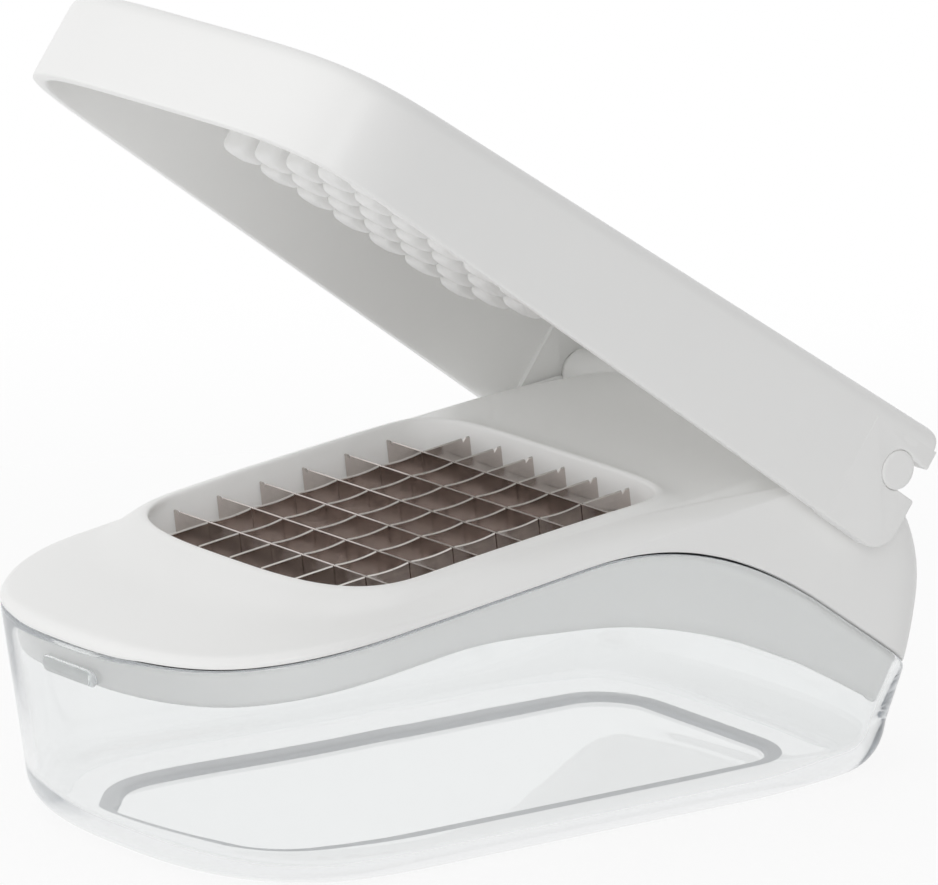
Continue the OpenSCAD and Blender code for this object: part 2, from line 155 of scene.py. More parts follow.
def moulded_abs(name, colour, sheen=0.34):
    """ABS from a spark-eroded mould: satin, with a faint grain and a very slow change of gloss."""
    material, tree = new_material(name)
    place = add(tree, "ShaderNodeTexCoord").outputs["Object"]
    # Cloudiness 45 mm across, about a hundredth deep, keeps wide faces from being one flat value.
    cloud = add(tree, "ShaderNodeTexNoise", sockets={
        "Vector": place, "Scale": 1 / 0.045, "Detail": 2.0}).outputs["Fac"]
    tint = add(tree, "ShaderNodeMix", {"data_type": "RGBA"}, {
        0: cloud, 6: shade(colour, 0.975), 7: shade(colour, 1.01)})
    # The mould's grain is about 0.1 mm; it is drawn at 0.5 mm so that it shows.
    grain = add(tree, "ShaderNodeTexNoise", sockets={
        "Vector": place, "Scale": 1 / 0.0005, "Detail": 3.0, "Roughness": 0.6}).outputs["Fac"]
    gloss = add(tree, "ShaderNodeMapRange", sockets={
        "Value": cloud, "From Min": 0.3, "From Max": 0.7, "To Min": sheen - 0.03, "To Max": sheen + 0.04})
    bump = add(tree, "ShaderNodeBump", sockets={"Height": grain, "Strength": 0.06, "Distance": 0.00005})
    shader = add(tree, "ShaderNodeBsdfPrincipled", sockets={
        "Base Color": tint.outputs[2], "Roughness": gloss.outputs["Result"],
        "Normal": bump.outputs["Normal"], "IOR": 1.53})
    add(tree, "ShaderNodeOutputMaterial", sockets={"Surface": shader.outputs["BSDF"]})
    return material


def clear_san(name, colour, matt, clear):
    """Clear styrene acrylonitrile from a polished mould: slightly wavy, and grey where it is seen edge on.
    The step around the floor panel is given a grey, part-clear, matt version as painted shade for the dark
    band seen there."""
    material, tree = new_material(name)
    place = add(tree, "ShaderNodeTexCoord").outputs["Object"]
    # Flow waves of a moulded wall, about 28 mm long.
    wave = add(tree, "ShaderNodeTexNoise", sockets={
        "Vector": place, "Scale": 1 / 0.028, "Detail": 1.0}).outputs["Fac"]
    bump = add(tree, "ShaderNodeBump", sockets={"Height": wave, "Strength": 0.2, "Distance": 0.0004})
    # Fine rub marks, 3 mm apart, only change the gloss a little.
    rub = add(tree, "ShaderNodeTexNoise", sockets={
        "Vector": place, "Scale": 1 / 0.003, "Detail": 4.0}).outputs["Fac"]
    gloss = add(tree, "ShaderNodeMapRange", sockets={
        "Value": rub, "From Min": 0.35, "From Max": 0.75, "To Min": matt, "To Max": matt + 0.05})
    glass = add(tree, "ShaderNodeBsdfPrincipled", sockets={
        "Base Color": (*colour, 1), "Roughness": gloss.outputs["Result"], "Normal": bump.outputs["Normal"],
        "IOR": 1.57, "Transmission Weight": clear})
    # Lamps shine through a thin clear wall; without this the table under it would be black.
    path = add(tree, "ShaderNodeLightPath")
    through = add(tree, "ShaderNodeBsdfTransparent", sockets={"Color": (0.95, 0.955, 0.96, 1)})
    both = add(tree, "ShaderNodeMixShader", sockets={
        0: path.outputs["Is Shadow Ray"], 1: glass.outputs["BSDF"], 2: through.outputs["BSDF"]})
    # A slight grey over a long way inside the wall, so that edges stand out and faces stay clear.
    smoke = add(tree, "ShaderNodeVolumeAbsorption", sockets={"Color": (0.8, 0.81, 0.82, 1), "Density": 50.0})
    add(tree, "ShaderNodeOutputMaterial", sockets={
        "Surface": both.outputs["Shader"], "Volume": smoke.outputs["Volume"]})
    return material


def rolled_stainless(name, colour, rough, streak):
    """Cold-rolled stainless strip: fine lines along the strip, cloudy smears and a warm grey tone."""
    material, tree = new_material(name)
    place = add(tree, "ShaderNodeUVMap", {"uv_map": "strip"}).outputs["UV"]
    # Rolling lines are some 0.05 mm apart; they are drawn at 0.25 mm, drawn out 14 mm along the strip.
    along = add(tree, "ShaderNodeMapping", sockets={"Vector": place, "Scale": (1 / 0.014, 1 / 0.00025, 1.0)})
    lines = add(tree, "ShaderNodeTexNoise", sockets={
        "Vector": along.outputs["Vector"], "Scale": 1.0, "Detail": 3.0}).outputs["Fac"]
    # Smears of handling, about 4 mm across.
    smear = add(tree, "ShaderNodeTexNoise", sockets={
        "Vector": place, "Scale": 1 / 0.004, "Detail": 5.0, "Roughness": 0.65}).outputs["Fac"]
    both = add(tree, "ShaderNodeMath", {"operation": "MULTIPLY_ADD"}, {0: lines, 1: streak, 2: smear})
    tone = add(tree, "ShaderNodeMapRange", sockets={
        "Value": both.outputs[0], "From Min": 0.3, "From Max": 0.3 + 0.5 * (1 + streak)})
    tint = add(tree, "ShaderNodeMix", {"data_type": "RGBA"}, {
        0: tone.outputs["Result"], 6: shade(colour, 0.84), 7: shade(colour, 1.12)})
    gloss = add(tree, "ShaderNodeMapRange", sockets={
        "Value": smear, "From Min": 0.3, "From Max": 0.7, "To Min": rough - 0.05, "To Max": rough + 0.07})
    bump = add(tree, "ShaderNodeBump", sockets={"Height": lines, "Strength": 0.04, "Distance": 0.00002})
    shader = add(tree, "ShaderNodeBsdfPrincipled", sockets={
        "Base Color": tint.outputs[2], "Metallic": 1.0, "Roughness": gloss.outputs["Result"],
        "Normal": bump.outputs["Normal"]})
    add(tree, "ShaderNodeOutputMaterial", sockets={"Surface": shader.outputs["BSDF"]})
    return material


def plated_zinc(name, colour):
    """Zinc-plated screw: bright, with the slight mottling of plating about 1 mm across."""
    material, tree = new_material(name)
    place = add(tree, "ShaderNodeTexCoord").outputs["Object"]
    mottle = add(tree, "ShaderNodeTexNoise", sockets={
        "Vector": place, "Scale": 1 / 0.001, "Detail": 3.0}).outputs["Fac"]
    tint = add(tree, "ShaderNodeMix", {"data_type": "RGBA"}, {
        0: mottle, 6: shade(colour, 0.8), 7: shade(colour, 1.0)})
    gloss = add(tree, "ShaderNodeMapRange", sockets={"Value": mottle, "To Min": 0.22, "To Max": 0.42})
    shader = add(tree, "ShaderNodeBsdfPrincipled", sockets={
        "Base Color": tint.outputs[2], "Metallic": 1.0, "Roughness": gloss.outputs["Result"]})
    add(tree, "ShaderNodeOutputMaterial", sockets={"Surface": shader.outputs["BSDF"]})
    return material


def material_of(name):
    """A finish by name, made once."""
    if name in bpy.data.materials:
        return bpy.data.materials[name]
    c = bpy.context.scene.chopper_colours
    if name == "clear_san":
        return clear_san(name, c.clear, matt=0.0, clear=1.0)
    # The step's grey is painted shade.
    if name == "clear_san_step":
        return clear_san(name, c.step, matt=0.3, clear=0.3)
    if name == "stainless_strip":
        return rolled_stainless(name, c.steel, rough=0.11, streak=0.3)
    if name == "ground_edge":
        return rolled_stainless(name, c.edge, rough=0.3, streak=0.2)
    if name == "zinc_screw":
        return plated_zinc(name, c.screw)
    # The seam groove's dark grey is a painted shadow.
    if name == "moulded_abs_groove":
        return moulded_abs(name, c.groove, sheen=0.6)
    return moulded_abs(name, c.plastic)


def ramp(x, start, length):
    """Soft step from 0 at start to 1 a length further on."""
    t = np.clip((x - start) / length, 0, 1)
    return t * t * (3 - 2 * t)


def mix(a, b, t):
    """Value at share t on the way from a to b."""
    return a + (b - a) * t


def power(v, e):
    """Sine or cosine bent to the exponent of a superellipse."""
    return np.sign(v) * np.abs(v) ** (2 / e)


class ChopperForm:
    """Curves of the moulded pieces in millimetres, with X to the hinge and Z up."""

    def __init__(self):
        sizes = bpy.context.scene.chopper_sizes
        for name in ChopperSizes.__annotations__:
            value = getattr(sizes, name)
            setattr(self, name, value if name in ("grid_tilt", "lid_angle") else value * 1000)
        self.front_x, self.rear_x = -self.body_length / 2, self.body_length / 2
        self.half_width = self.body_width / 2
        # The body bulges behind the rear end of the rim.
        self.seam_rear = self.rear_x - 4
        self.hinge_x, self.hinge_z = self.rear_x - 22.2, self.grid_height + 7.6
        self.grid_x = self.hinge_x - 91.3
        self.crest_x = self.grid_x + 22.5
        # Half sizes of the blade frame and half the length of a strip.
        self.frame_outer = self.half_width - 7.3
        self.frame_inner = self.frame_outer - 7.6
        self.blade_half = self.frame_inner + 2.03
        self.ear_outer, self.ear_inner = self.lid_width / 2, self.half_width + 0.5
        self.ear_rear, self.ear_corner, self.ear_front = 8.0, 6.5, -12.2
        self.post_width = self.cell_pitch - self.post_gap
        self.barrel_half = self.half_width - 1
        self.lid_slope, self.lid_taper = 0.047, 0.03
        # Fall of the lip to the front, and how far the front of the deck is drawn in to a round edge.
        self.lip_dip, self.front_edge = 1.0, 2.4
        # Inset, bulge and height share of the flank's top, and the half size of the lip's foot.
        self.crease_place, self.lip_foot = (0.5, -3.5, 1), self.frame_outer - 0.4
        self.side = np.arange(1, SIDE_N) / SIDE_N

    def outline(self, front, rear, half, nose, nose_e, tail, tail_e, side=None):
        """Closed curve, anticlockwise from above: far side, front, near side, rear.
        Nose and tail are half superellipses of a given length and exponent."""
        t = np.radians(90 + 180 * np.arange(FRONT_N + 1) / FRONT_N)
        head_x = front + nose + nose * power(np.cos(t), nose_e)
        head = np.column_stack([head_x, half * power(np.sin(t), nose_e)])
        t = np.radians(-90 + 180 * np.arange(TAIL_N + 1) / TAIL_N)
        end_x = rear - tail + tail * power(np.cos(t), tail_e)
        end = np.column_stack([end_x, half * power(np.sin(t), tail_e)])
        run = mix(front + nose, rear - tail, self.side if side is None else side)
        return self.closed(head, end, run, half)

    def closed(self, head, end, run, half):
        """Front and rear curves joined by straight sides."""
        near = np.column_stack([run, np.full_like(run, -half)])
        far = np.column_stack([run[::-1], np.full_like(run, half)])
        return np.vstack([head, near, end, far])

    def at(self, line, z):
        """Flat curve raised to a height, or to a height at each point."""
        return np.column_stack([line, np.broadcast_to(z, len(line))])

    def plane(self, x):
        """Height of the cutting edges, carried on past the grid."""
        return self.grid_height + (x - self.grid_x) * math.tan(self.grid_tilt)

    def tilted(self, line, h):
        """Curve in the tilted plane of the grid, raised by h."""
        c, s = math.cos(self.grid_tilt), math.sin(self.grid_tilt)
        a = line[:, 0]
        return np.column_stack([self.grid_x + a * c - h * s, line[:, 1], self.grid_height + a * s + h * c])

    def seam(self, x):
        """Height of the wavy line between container and body."""
        flat, rear, bend = self.front_x + 4, self.seam_rear - 2.5, 0.62
        t = np.clip((x - self.crest_x) / (rear - self.crest_x), 0, 1)
        fall = np.where(t < bend, t * t / (bend * (2 - bend)), (2 * t - bend) / (2 - bend))
        # Straight climb with a soft start and a soft end.
        soft, last = 0.12, 0.1
        rate = 1 / (1 - (soft + last) / 2)
        u = np.clip((x - flat) / (self.crest_x - flat), 0, 1)
        climb = np.where(u > 1 - last, 1 - rate * (1 - u) ** 2 / (2 * last), rate * (u - soft / 2))
        climb = np.where(u < soft, rate * u * u / (2 * soft), climb)
        ahead = mix(self.front_height, self.crest_height, climb)
        behind = mix(self.crest_height, self.rear_height, fall)
        return np.where(x < self.crest_x, ahead, behind)

    def seam_gap(self, x):
        """Rise of the body's lower edge over the seam, which ends at the very front and rear."""
        rise = 0.45
        return rise * ramp(x, self.front_x + 1.2, 2.4) * (1 - ramp(x, self.seam_rear - 2.4, 1.4))

    def seam_line(self, inset):
        """Outline of the rim."""
        nose, nose_e, tail, tail_e = 50, 2.5, 18, 2.6
        front, rear, half = self.front_x + inset, self.seam_rear - inset, self.half_width - inset
        return self.outline(front, rear, half, nose - inset, nose_e, tail - inset, tail_e)

    def seam_ring(self, inset, dz):
        """Ring along the seam."""
        line = self.seam_line(inset)
        return self.at(line, self.seam(line[:, 0]) + dz)

    def edge_ring(self, inset, below):
        """Ring below the body's lower edge."""
        line = self.seam_line(inset)
        return self.at(line, self.seam(line[:, 0]) + self.seam_gap(line[:, 0]) - below)

    def foot_line(self, inset):
        """Outline of the container's foot."""
        nose, nose_e, tail, tail_e = 41, 2.65, 21.4, 2.7
        # The walls lean outwards from the foot, most of all at the front.
        front_lean, rear_lean, side_lean = 9, 3.9, 0.4
        front, rear = self.front_x + front_lean + inset, self.seam_rear - rear_lean - inset
        half = self.half_width - side_lean - inset
        return self.outline(front, rear, half, nose - inset, nose_e, tail - inset, tail_e)

    def foot_round(self, x):
        """Rounding of the bottom edge, which grows to both ends."""
        front_more, rear_more = 4, 7
        front = front_more * (1 - ramp(x, self.front_x + 10, 50))
        return self.bottom_round + front + rear_more * ramp(x, self.rear_x - 55, 45)

    def foot_ring(self, inset, z):
        """Ring around the foot, drawn in by its own inset at each point."""
        deep = 10
        share = (inset / deep)[:, None]
        return self.at(mix(self.foot_line(0), self.foot_line(deep), share), z)

    def panel_ring(self, grow, z):
        """Rounded oblong in the middle of the floor, with as many points as an outline."""
        end_border, side_border, corner = 30.5, 23, 12
        reach, half, c = self.rear_x - end_border + grow, self.half_width - side_border + grow, corner + grow

        def turn(cx, cy, start, count):
            t = np.radians(np.linspace(start, start + 90, count))
            return np.column_stack([cx + c * np.cos(t), cy + c * np.sin(t)])

        a, b, x, y = FRONT_N // 2, TAIL_N // 2, reach - c, half - c
        head = np.vstack([turn(-x, y, 90, a), [[-reach, 0]], turn(-x, -y, 180, a)])
        end = np.vstack([turn(x, -y, 270, b), [[reach, 0]], turn(x, y, 0, b)])
        return self.at(self.closed(head, end, mix(-x, x, self.side), half), z)

    def at_front(self, x):
        """Share of the front form: 1 around the nose, 0 along the flanks."""
        return 1 - ramp(x, self.front_x + 20, 60)

    def hump(self, x):
        """Rise of the deck over the hinge barrel."""
        rise = 2.2
        return rise * ramp(x, self.hinge_x - 13, 12) * (1 - ramp(x, self.hinge_x + 1, 10))

    def deck(self, x):
        """Height of the deck around the lip."""
        above, lean = 1.7, 0.028
        level = self.plane(x) + above - lean * np.clip(x - self.grid_x, -self.frame_outer, self.frame_outer)
        return level + self.hump(x) - self.lip_dip * self.ahead(x)

    def ahead(self, x):
        """Share of the deck's front half: 0 from the middle of the grid on, 1 at its front."""
        run = 45
        return 1 - ramp(x, self.grid_x - run, run)

    def sag(self, x):
        """How far the deck in front of the lip lies below the line from the lip."""
        deepest = 2.3
        return deepest * self.ahead(x)

    def crease(self, x):
        """Top of the flank: low around the front, dipping behind the hinge."""
        least, front_more, below_grid, rear_drop = 1.2, 2.2, 3, 13.5
        low = self.seam(x) + least + front_more * self.at_front(x)
        high = self.plane(x) - below_grid - rear_drop * ramp(x, self.hinge_x - 3.8, 18)
        high = mix(low, high, ramp(x, self.crest_x - 54, 60))
        return np.maximum(low, high)

    def deck_fall(self, edge, t):
        """Fall of the deck towards the crease, with a crown that is fuller behind the nose."""
        x = edge[:, 0]
        shoulder = mix(1, 0.36, ramp(x, self.seam_rear - 20, 14))
        crown = mix(1.5, 2, ramp(x, self.grid_x - 46.5, 40))
        rest = np.maximum(0, 1 - t / shoulder)
        return (self.deck(x) - self.sag(x) - edge[:, 2]) * rest ** crown

    def flank_ring(self, inset, bulge, t):
        """Ring on the flank: 0 is the seam, 1 the crease; the front is drawn in to a round edge."""
        line, deep = self.seam_line(inset), self.seam_line(inset + self.front_edge)
        x = line[:, 0]
        k = self.at_front(x) * (1 - math.sqrt(max(0, 1 - t * t)))
        tail = 41
        moved = x + bulge * ramp(x, self.seam_rear - tail, tail)
        z = mix(self.seam(x) + self.seam_gap(x), self.crease(x), t)
        return np.column_stack([mix(moved, deep[:, 0], k), mix(line[:, 1], deep[:, 1], k), z])

    def lip_line(self, half):
        """Outline of the lip, rounder at its front."""
        nose, nose_e, tail, tail_e = 0.5 * half, 3.1, 0.46 * half, 5
        return self.outline(-half, half, half, nose, nose_e, tail, tail_e)

    def lip_ring(self, half, h, slope, rise):
        """Ring of the lip around the opening; rise lifts it over the deck towards the hinge."""
        line = self.lip_line(half)
        a = line[:, 0]
        dip = self.lip_dip * (1 - ramp(a, -45, 40))
        return self.tilted(line, h - slope * a + rise * ramp(a, -25, 55) - dip)

    def seat_ring(self, half, h):
        """Ring of the seat for the blade frame under the lip."""
        end, end_e = 0.46 * half, 5
        return self.tilted(self.outline(-half, half, half, end, end_e, end, end_e), h)

    def deck_ring(self, t):
        """Ring on the deck: 0 is the crease, 1 the foot of the lip."""
        e, lip = self.flank_ring(*self.crease_place), self.lip_line(self.lip_foot)
        x = mix(e[:, 0], self.grid_x + lip[:, 0] * math.cos(self.grid_tilt), t)
        y = mix(e[:, 1], lip[:, 1], t)
        sag = self.sag(e[:, 0]) * (1 - ramp(t, 0.65, 0.35))
        z = self.deck(x) - sag - self.deck_fall(e, t)
        return np.column_stack([x, y, z])

    def skirt_ring(self, inset):
        """Lower edge of the skirt, deepest behind the crest and clear of the container's rounding."""
        top, foot = self.seam_line(inset), self.foot_line(inset)
        x = top[:, 0]
        least, more, deepest_x, reach, play = 8.5, 8.5, self.crest_x + 22, 68, 0.4
        depth = least + more * np.maximum(0, 1 - ((x - deepest_x) / reach) ** 2) ** 2
        base = self.floor_thickness + self.foot_round(foot[:, 0])
        z = np.maximum(self.seam(x) - depth, base + play)
        t = ((z - base) / (self.seam(x) - base))[:, None]
        return self.at(mix(foot, top, t), z)

    def under_ring(self, inset):
        """Underside of the deck where it meets the inner face of the skirt."""
        e, lip = self.flank_ring(*self.crease_place), self.lip_line(self.lip_foot)
        line = self.seam_line(inset)
        x = line[:, 0]
        furthest, over_seam, thicker = 0.7, 0.8, 0.6
        span = np.hypot(e[:, 0] - self.grid_x - lip[:, 0] * math.cos(self.grid_tilt), e[:, 1] - lip[:, 1])
        t = np.minimum(furthest, np.hypot(e[:, 0] - x, e[:, 1] - line[:, 1]) / span)
        top = self.deck(x) - self.hump(x) - self.sag(e[:, 0]) - self.deck_fall(e, t)
        return self.at(line, np.maximum(self.seam(x) + over_seam, top - self.body_wall - thicker))

    def lid_top(self, x):
        """Height of the lid's top over the hinge axis."""
        return self.lid_rise + self.lid_slope * x

    def lid_line(self, inset, sunk):
        """Outline of the lid; sunk draws it in behind the front edge of the ears."""
        nose, nose_e, tail, tail_e = 40 - inset, 4.5, 2.4 - min(inset, 1.6), 4
        front, rear = -self.lid_reach + inset, self.ear_rear - inset
        start, stop = front + nose, rear - tail
        # The points stand close together where the ears begin.
        ears_near, behind_n = -16, 4
        step = [-13.4, -12.6, -12.2, -11.8, -11.4, -10.9, -10.4, -9.8]
        ahead = np.linspace(start, ears_near, SIDE_N - len(step) - behind_n)[1:]
        behind = np.linspace(step[-1], stop, behind_n + 2)[1:-1]
        side = (np.concatenate([ahead, step, behind]) - start) / (stop - start)
        q = self.outline(front, rear, self.ear_outer - inset, nose, nose_e, tail, tail_e, side)
        q[:, 1] *= 1 - self.lid_taper * np.maximum(0, -q[:, 0]) / self.lid_reach
        on_side = np.abs(q[:, 1]) > self.ear_inner - 3
        q[:, 1] -= np.sign(q[:, 1]) * sunk * on_side * ramp(q[:, 0], -12.6, 0.6)
        return q

    def hinge_place(self):
        """Place of the hinge axis."""
        return Matrix.Translation((self.hinge_x, 0, self.hinge_z))

    def lid_matrix(self):
        """Place of the open lid."""
        return self.hinge_place() @ Matrix.Rotation(self.lid_angle, 4, "Y")

    def grid_matrix(self):
        """Place of the tilted grid."""
        middle = Matrix.Translation((self.grid_x, 0, self.grid_height))
        return middle @ Matrix.Rotation(-self.grid_tilt, 4, "Y")

    def strip_place(self, i):
        """Place of a strip across the grid."""
        return (i - CELLS / 2) * self.cell_pitch


def crisp(rings, tight):
    """Split each ring in tight into two, each of them that far on the way to a neighbour.
    Smoothing then leaves an edge there."""
    most, made = 0.45, []
    for i, ring in enumerate(rings):
        if i not in tight:
            made.append(ring)
            continue
        for other in (rings[i - 1], rings[(i + 1) % len(rings)]):
            step = other - ring
            size = np.linalg.norm(step, axis=1, keepdims=True)
            made.append(ring + step * np.minimum(tight[i] / np.maximum(size, 1e-9), most))
    return made


def loft(rings, loop=False, fold=FRONT_N):
    """Mesh of quads through rings of equal length, closed back to the first ring or by caps.
    A cap is a row of quads from each point j to its mirror point fold - j, which smooths without a pole."""
    n = len(rings[0])
    mesh = bmesh.new()
    rows = [[mesh.verts.new(p) for p in ring] for ring in rings]
    for a, b in zip(rows, rows[1:] + ([rows[0]] if loop else [])):
        for j in range(n):
            k = (j + 1) % n
            mesh.faces.new((a[j], b[j], b[k], a[k]))
    if not loop:
        start = (fold + 1) // 2
        for row in (rows[0], rows[-1]):
            for j in range(start, start + (n - fold % 2) // 2):
                corners = (row[j % n], row[(j + 1) % n], row[(fold - j - 1) % n], row[(fold - j) % n])
                mesh.faces.new(list(dict.fromkeys(corners)))
    mesh.faces.ensure_lookup_table()
    return mesh


def paint_rows(mesh, count, first, last):
    """Give the second finish to the faces of a loft from one ring to another; on the container and the body
    that finish is painted shade.
    """
    for face in mesh.faces[first * count:last * count]:
        face.material_index = 1


def turned(matrix, radius, levels, steps=72):
    """Turned piece along its own Z: levels of (z, radius share)."""
    t = np.radians(360 * np.arange(steps) / steps)
    rings = []
    for z, share in levels:
        ring = np.column_stack([radius * share * np.cos(t), radius * share * np.sin(t), np.full(steps, z)])
        rings.append(np.array([matrix @ Vector(p) for p in ring]))
    return loft(rings, fold=0)


def plate(profile, weights, levels):
    """Flat piece from a closed profile in (u, v), with levels of (depth, inset).
    Weights say which sides of the profile the inset draws in."""
    p = np.asarray(profile, float)
    n = len(p)
    d = np.roll(p, -1, axis=0) - p
    d /= np.linalg.norm(d, axis=1, keepdims=True)
    normal = np.column_stack([-d[:, 1], d[:, 0]])
    mesh = bmesh.new()
    uv = mesh.loops.layers.uv.new("strip")
    rows = []
    for depth, inset in levels:
        row = []
        for i in range(n):
            sides = np.array([normal[i - 1], normal[i]])
            shift = np.array([weights[i - 1] * inset, weights[i] * inset])
            # Two sides in one line have no corner to solve for.
            if abs(np.linalg.det(sides)) < 0.05:
                q = p[i] + sides.mean(axis=0) * shift.mean()
            else:
                q = p[i] + np.linalg.solve(sides, shift)
            row.append(mesh.verts.new((q[0], depth, q[1])))
        rows.append(row)
    for a, b in zip(rows, rows[1:]):
        for j in range(n):
            k = (j + 1) % n
            mesh.faces.new((a[j], a[k], b[k], b[j]))
    mesh.faces.new(rows[0][::-1])
    mesh.faces.new(rows[-1])
    bmesh.ops.recalc_face_normals(mesh, faces=mesh.faces)
    for face in mesh.faces:
        for corner in face.loops:
            corner[uv].uv = (corner.vert.co.x / 1000, corner.vert.co.z / 1000)
    return mesh


def merge(*meshes):
    """One bmesh from several."""
    made = bmesh.new()
    for part in meshes:
        kept = bpy.data.meshes.new("part")
        part.to_mesh(kept)
        part.free()
        made.from_mesh(kept)
        bpy.data.meshes.remove(kept)
    return made


def settle(obj):
    """Replace the object's mesh by its evaluated one and drop the modifiers."""
    bpy.context.view_layer.update()
    made = bpy.data.meshes.new_from_object(obj.evaluated_get(bpy.context.evaluated_depsgraph_get()))
    old = obj.data
    obj.modifiers.clear()
    obj.data = made
    made.name = obj.name
    bpy.data.meshes.remove(old)
    return obj


def shaped(name, mesh, matrix, finishes, levels=0, sharp=None, even=False):
    """Object in metres from a bmesh in millimetres, rounded by subdivision or crisp past an angle."""
    data = bpy.data.meshes.new(name)
    bmesh.ops.recalc_face_normals(mesh, faces=mesh.faces)
    mesh.to_mesh(data)
    mesh.free()
    data.transform(TO_METRES @ matrix)
    for finish in finishes:
        data.materials.append(material_of(finish))
    for face in data.polygons:
        face.use_smooth = True
    obj = bpy.data.objects.new(name, data)
    bpy.context.scene.collection.objects.link(obj)
    if levels:
        rounder = obj.modifiers.new("rounding", "SUBSURF")
        rounder.levels = rounder.render_levels = levels
    if sharp:
        data.set_sharp_from_angle(angle=math.radians(sharp))
    if even:
        obj.modifiers.new("even_faces", "WEIGHTED_NORMAL").keep_sharp = True
    return settle(obj)


def joined(parts):
    """Several finished objects as the first of them."""
    whole = parts[0]
    with bpy.context.temp_override(active_object=whole, object=whole, selected_objects=parts,
                                   selected_editable_objects=parts):
        bpy.ops.object.join()
    return whole


def grown(name, tree, values, start=None):
    """Object whose mesh is what a node tree makes of a starting mesh, with the tree's named inputs set."""
    obj = bpy.data.objects.new(name, start or bpy.data.meshes.new(name))
    bpy.context.scene.collection.objects.link(obj)
    maker = obj.modifiers.new("maker", "NODES")
    maker.node_group = tree
    for item in tree.interface.items_tree:
        if item.in_out == "INPUT" and item.name in values:
            maker[item.identifier] = values[item.name]
    settle(obj)
    for face in obj.data.polygons:
        face.use_smooth = True
    return obj


def new_tree(name, values):
    """Geometry node tree with a named input for each value."""
    tree = bpy.data.node_groups.new(name, "GeometryNodeTree")
    tree.interface.new_socket("Geometry", in_out="INPUT", socket_type="NodeSocketGeometry")
    for key, value in values.items():
        kind = "NodeSocketInt" if isinstance(value, int) else "NodeSocketFloat"
        tree.interface.new_socket(key, in_out="INPUT", socket_type=kind)
    tree.interface.new_socket("Geometry", in_out="OUTPUT", socket_type="NodeSocketGeometry")
    return tree, add(tree, "NodeGroupInput").outputs


def end_tree(tree, geometry, finish):
    """Close a tree: real geometry with its material."""
    real = add(tree, "GeometryNodeRealizeInstances", sockets={"Geometry": geometry})
    done = add(tree, "GeometryNodeSetMaterial", sockets={
        "Geometry": real.outputs["Geometry"], "Material": material_of(finish)})
    add(tree, "NodeGroupOutput", sockets={"Geometry": done.outputs["Geometry"]})


def seat(obj, body, nodes):
    """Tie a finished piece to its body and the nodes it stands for."""
    if not obj.data.polygons:
        raise RuntimeError(f"{obj.name} has no faces")
    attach(obj, body)
    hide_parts(*nodes)
    return obj


def piece(name, mesh, matrix, finishes, body, nodes, levels=0, sharp=None):
    """A finished piece in metres that stands for CAD nodes."""
    return seat(shaped(name, mesh, matrix, finishes, levels, sharp, bool(sharp)), body, nodes)


class CHOPPER_OT_container(bpy.types.Operator):
    """Clear container with its wavy rim, rounded foot, lowered floor panel and catch"""
    bl_idname = "chopper.container"
    bl_label = "Clear container"

    def execute(self, context):
        g = ChopperForm()
        w, floor = g.container_wall, g.floor_thickness
        r = g.foot_round(g.foot_line(0)[:, 0])
        # Outside: floor, rounding, wall and rim.
        rings = [g.foot_ring(r + 9, 0), g.foot_ring(r + 1, 0)]
        rings += [g.foot_ring(r * (1 - math.sin(a)), r * (1 - math.cos(a))) for a in ARC]
        bottom, top = rings[-1], g.seam_ring(0.4, -0.7)
        rings += [mix(bottom, top, t) for t in (0.08, 0.25, 0.5, 0.75, 0.95)]
        for inset, below in ((0.42, 0.4), (0.55, 0.1), (0.8, 0), (w - 0.25, 0), (w, 0.3)):
            rings.append(g.edge_ring(inset, g.seam_open + below))
        # The wall runs into the floor with a rounding as wide as the outer one.
        well = [g.foot_ring(w + (r + 1 - w) * (1 - math.cos(a)), floor + r * (1 - math.sin(a))) for a in ARC]
        rings += [mix(g.seam_ring(w, -0.6), well[0], t) for t in (0.05, 0.25, 0.5, 0.75, 0.95)]
        rings += [*well, g.foot_ring(r + 2, floor)]
        # Growth and depth of the rings on the step, painted grey as painted shade, then the panel.
        step, drop = len(rings), g.panel_drop
        slope = [(2.6, 0), (0.7, 0.05), (0.2, 0.3), (0, 0.6), (-0.1, drop - 0.35), (-0.4, drop - 0.08)]
        rings += [g.panel_ring(grow, floor - deep) for grow, deep in slope]
        rings += [g.panel_ring(-0.9, floor - drop), g.panel_ring(-5, floor - drop)]
        shell = loft(rings)
        # The step's rows take the grey painted shade.
        paint_rows(shell, len(rings[0]), step, step + len(slope) - 1)
        piece("container_clear", merge(shell, self.catch(g)), Matrix(), ["clear_san", "clear_san_step"],
              "container", ["container"], 1)
        return {"FINISHED"}

    def catch(self, g):
        """Oblong with rounded ends, raised from the front wall."""
        half, reach, rise, below_rim, round_n = 1.9, 8.0, 0.5, 6.4, 20
        wall_x = g.front_x + 1.9
        t = np.radians(np.linspace(-90, 90, round_n))
        rings = []
        for out, inset in ((-0.9, 0), (rise - 0.4, 0), (rise - 0.15, 0.1), (rise, 0.45), (rise, 0.9)):
            c = half - inset
            y = reach + c * np.cos(t)
            z = c * np.sin(t)
            x = np.full(2 * round_n, wall_x - out)
            rings.append(np.column_stack([x, [*y, *-y], g.front_height - below_rim + np.array([*z, *-z])]))
        return loft(rings, fold=2 * round_n - 1)


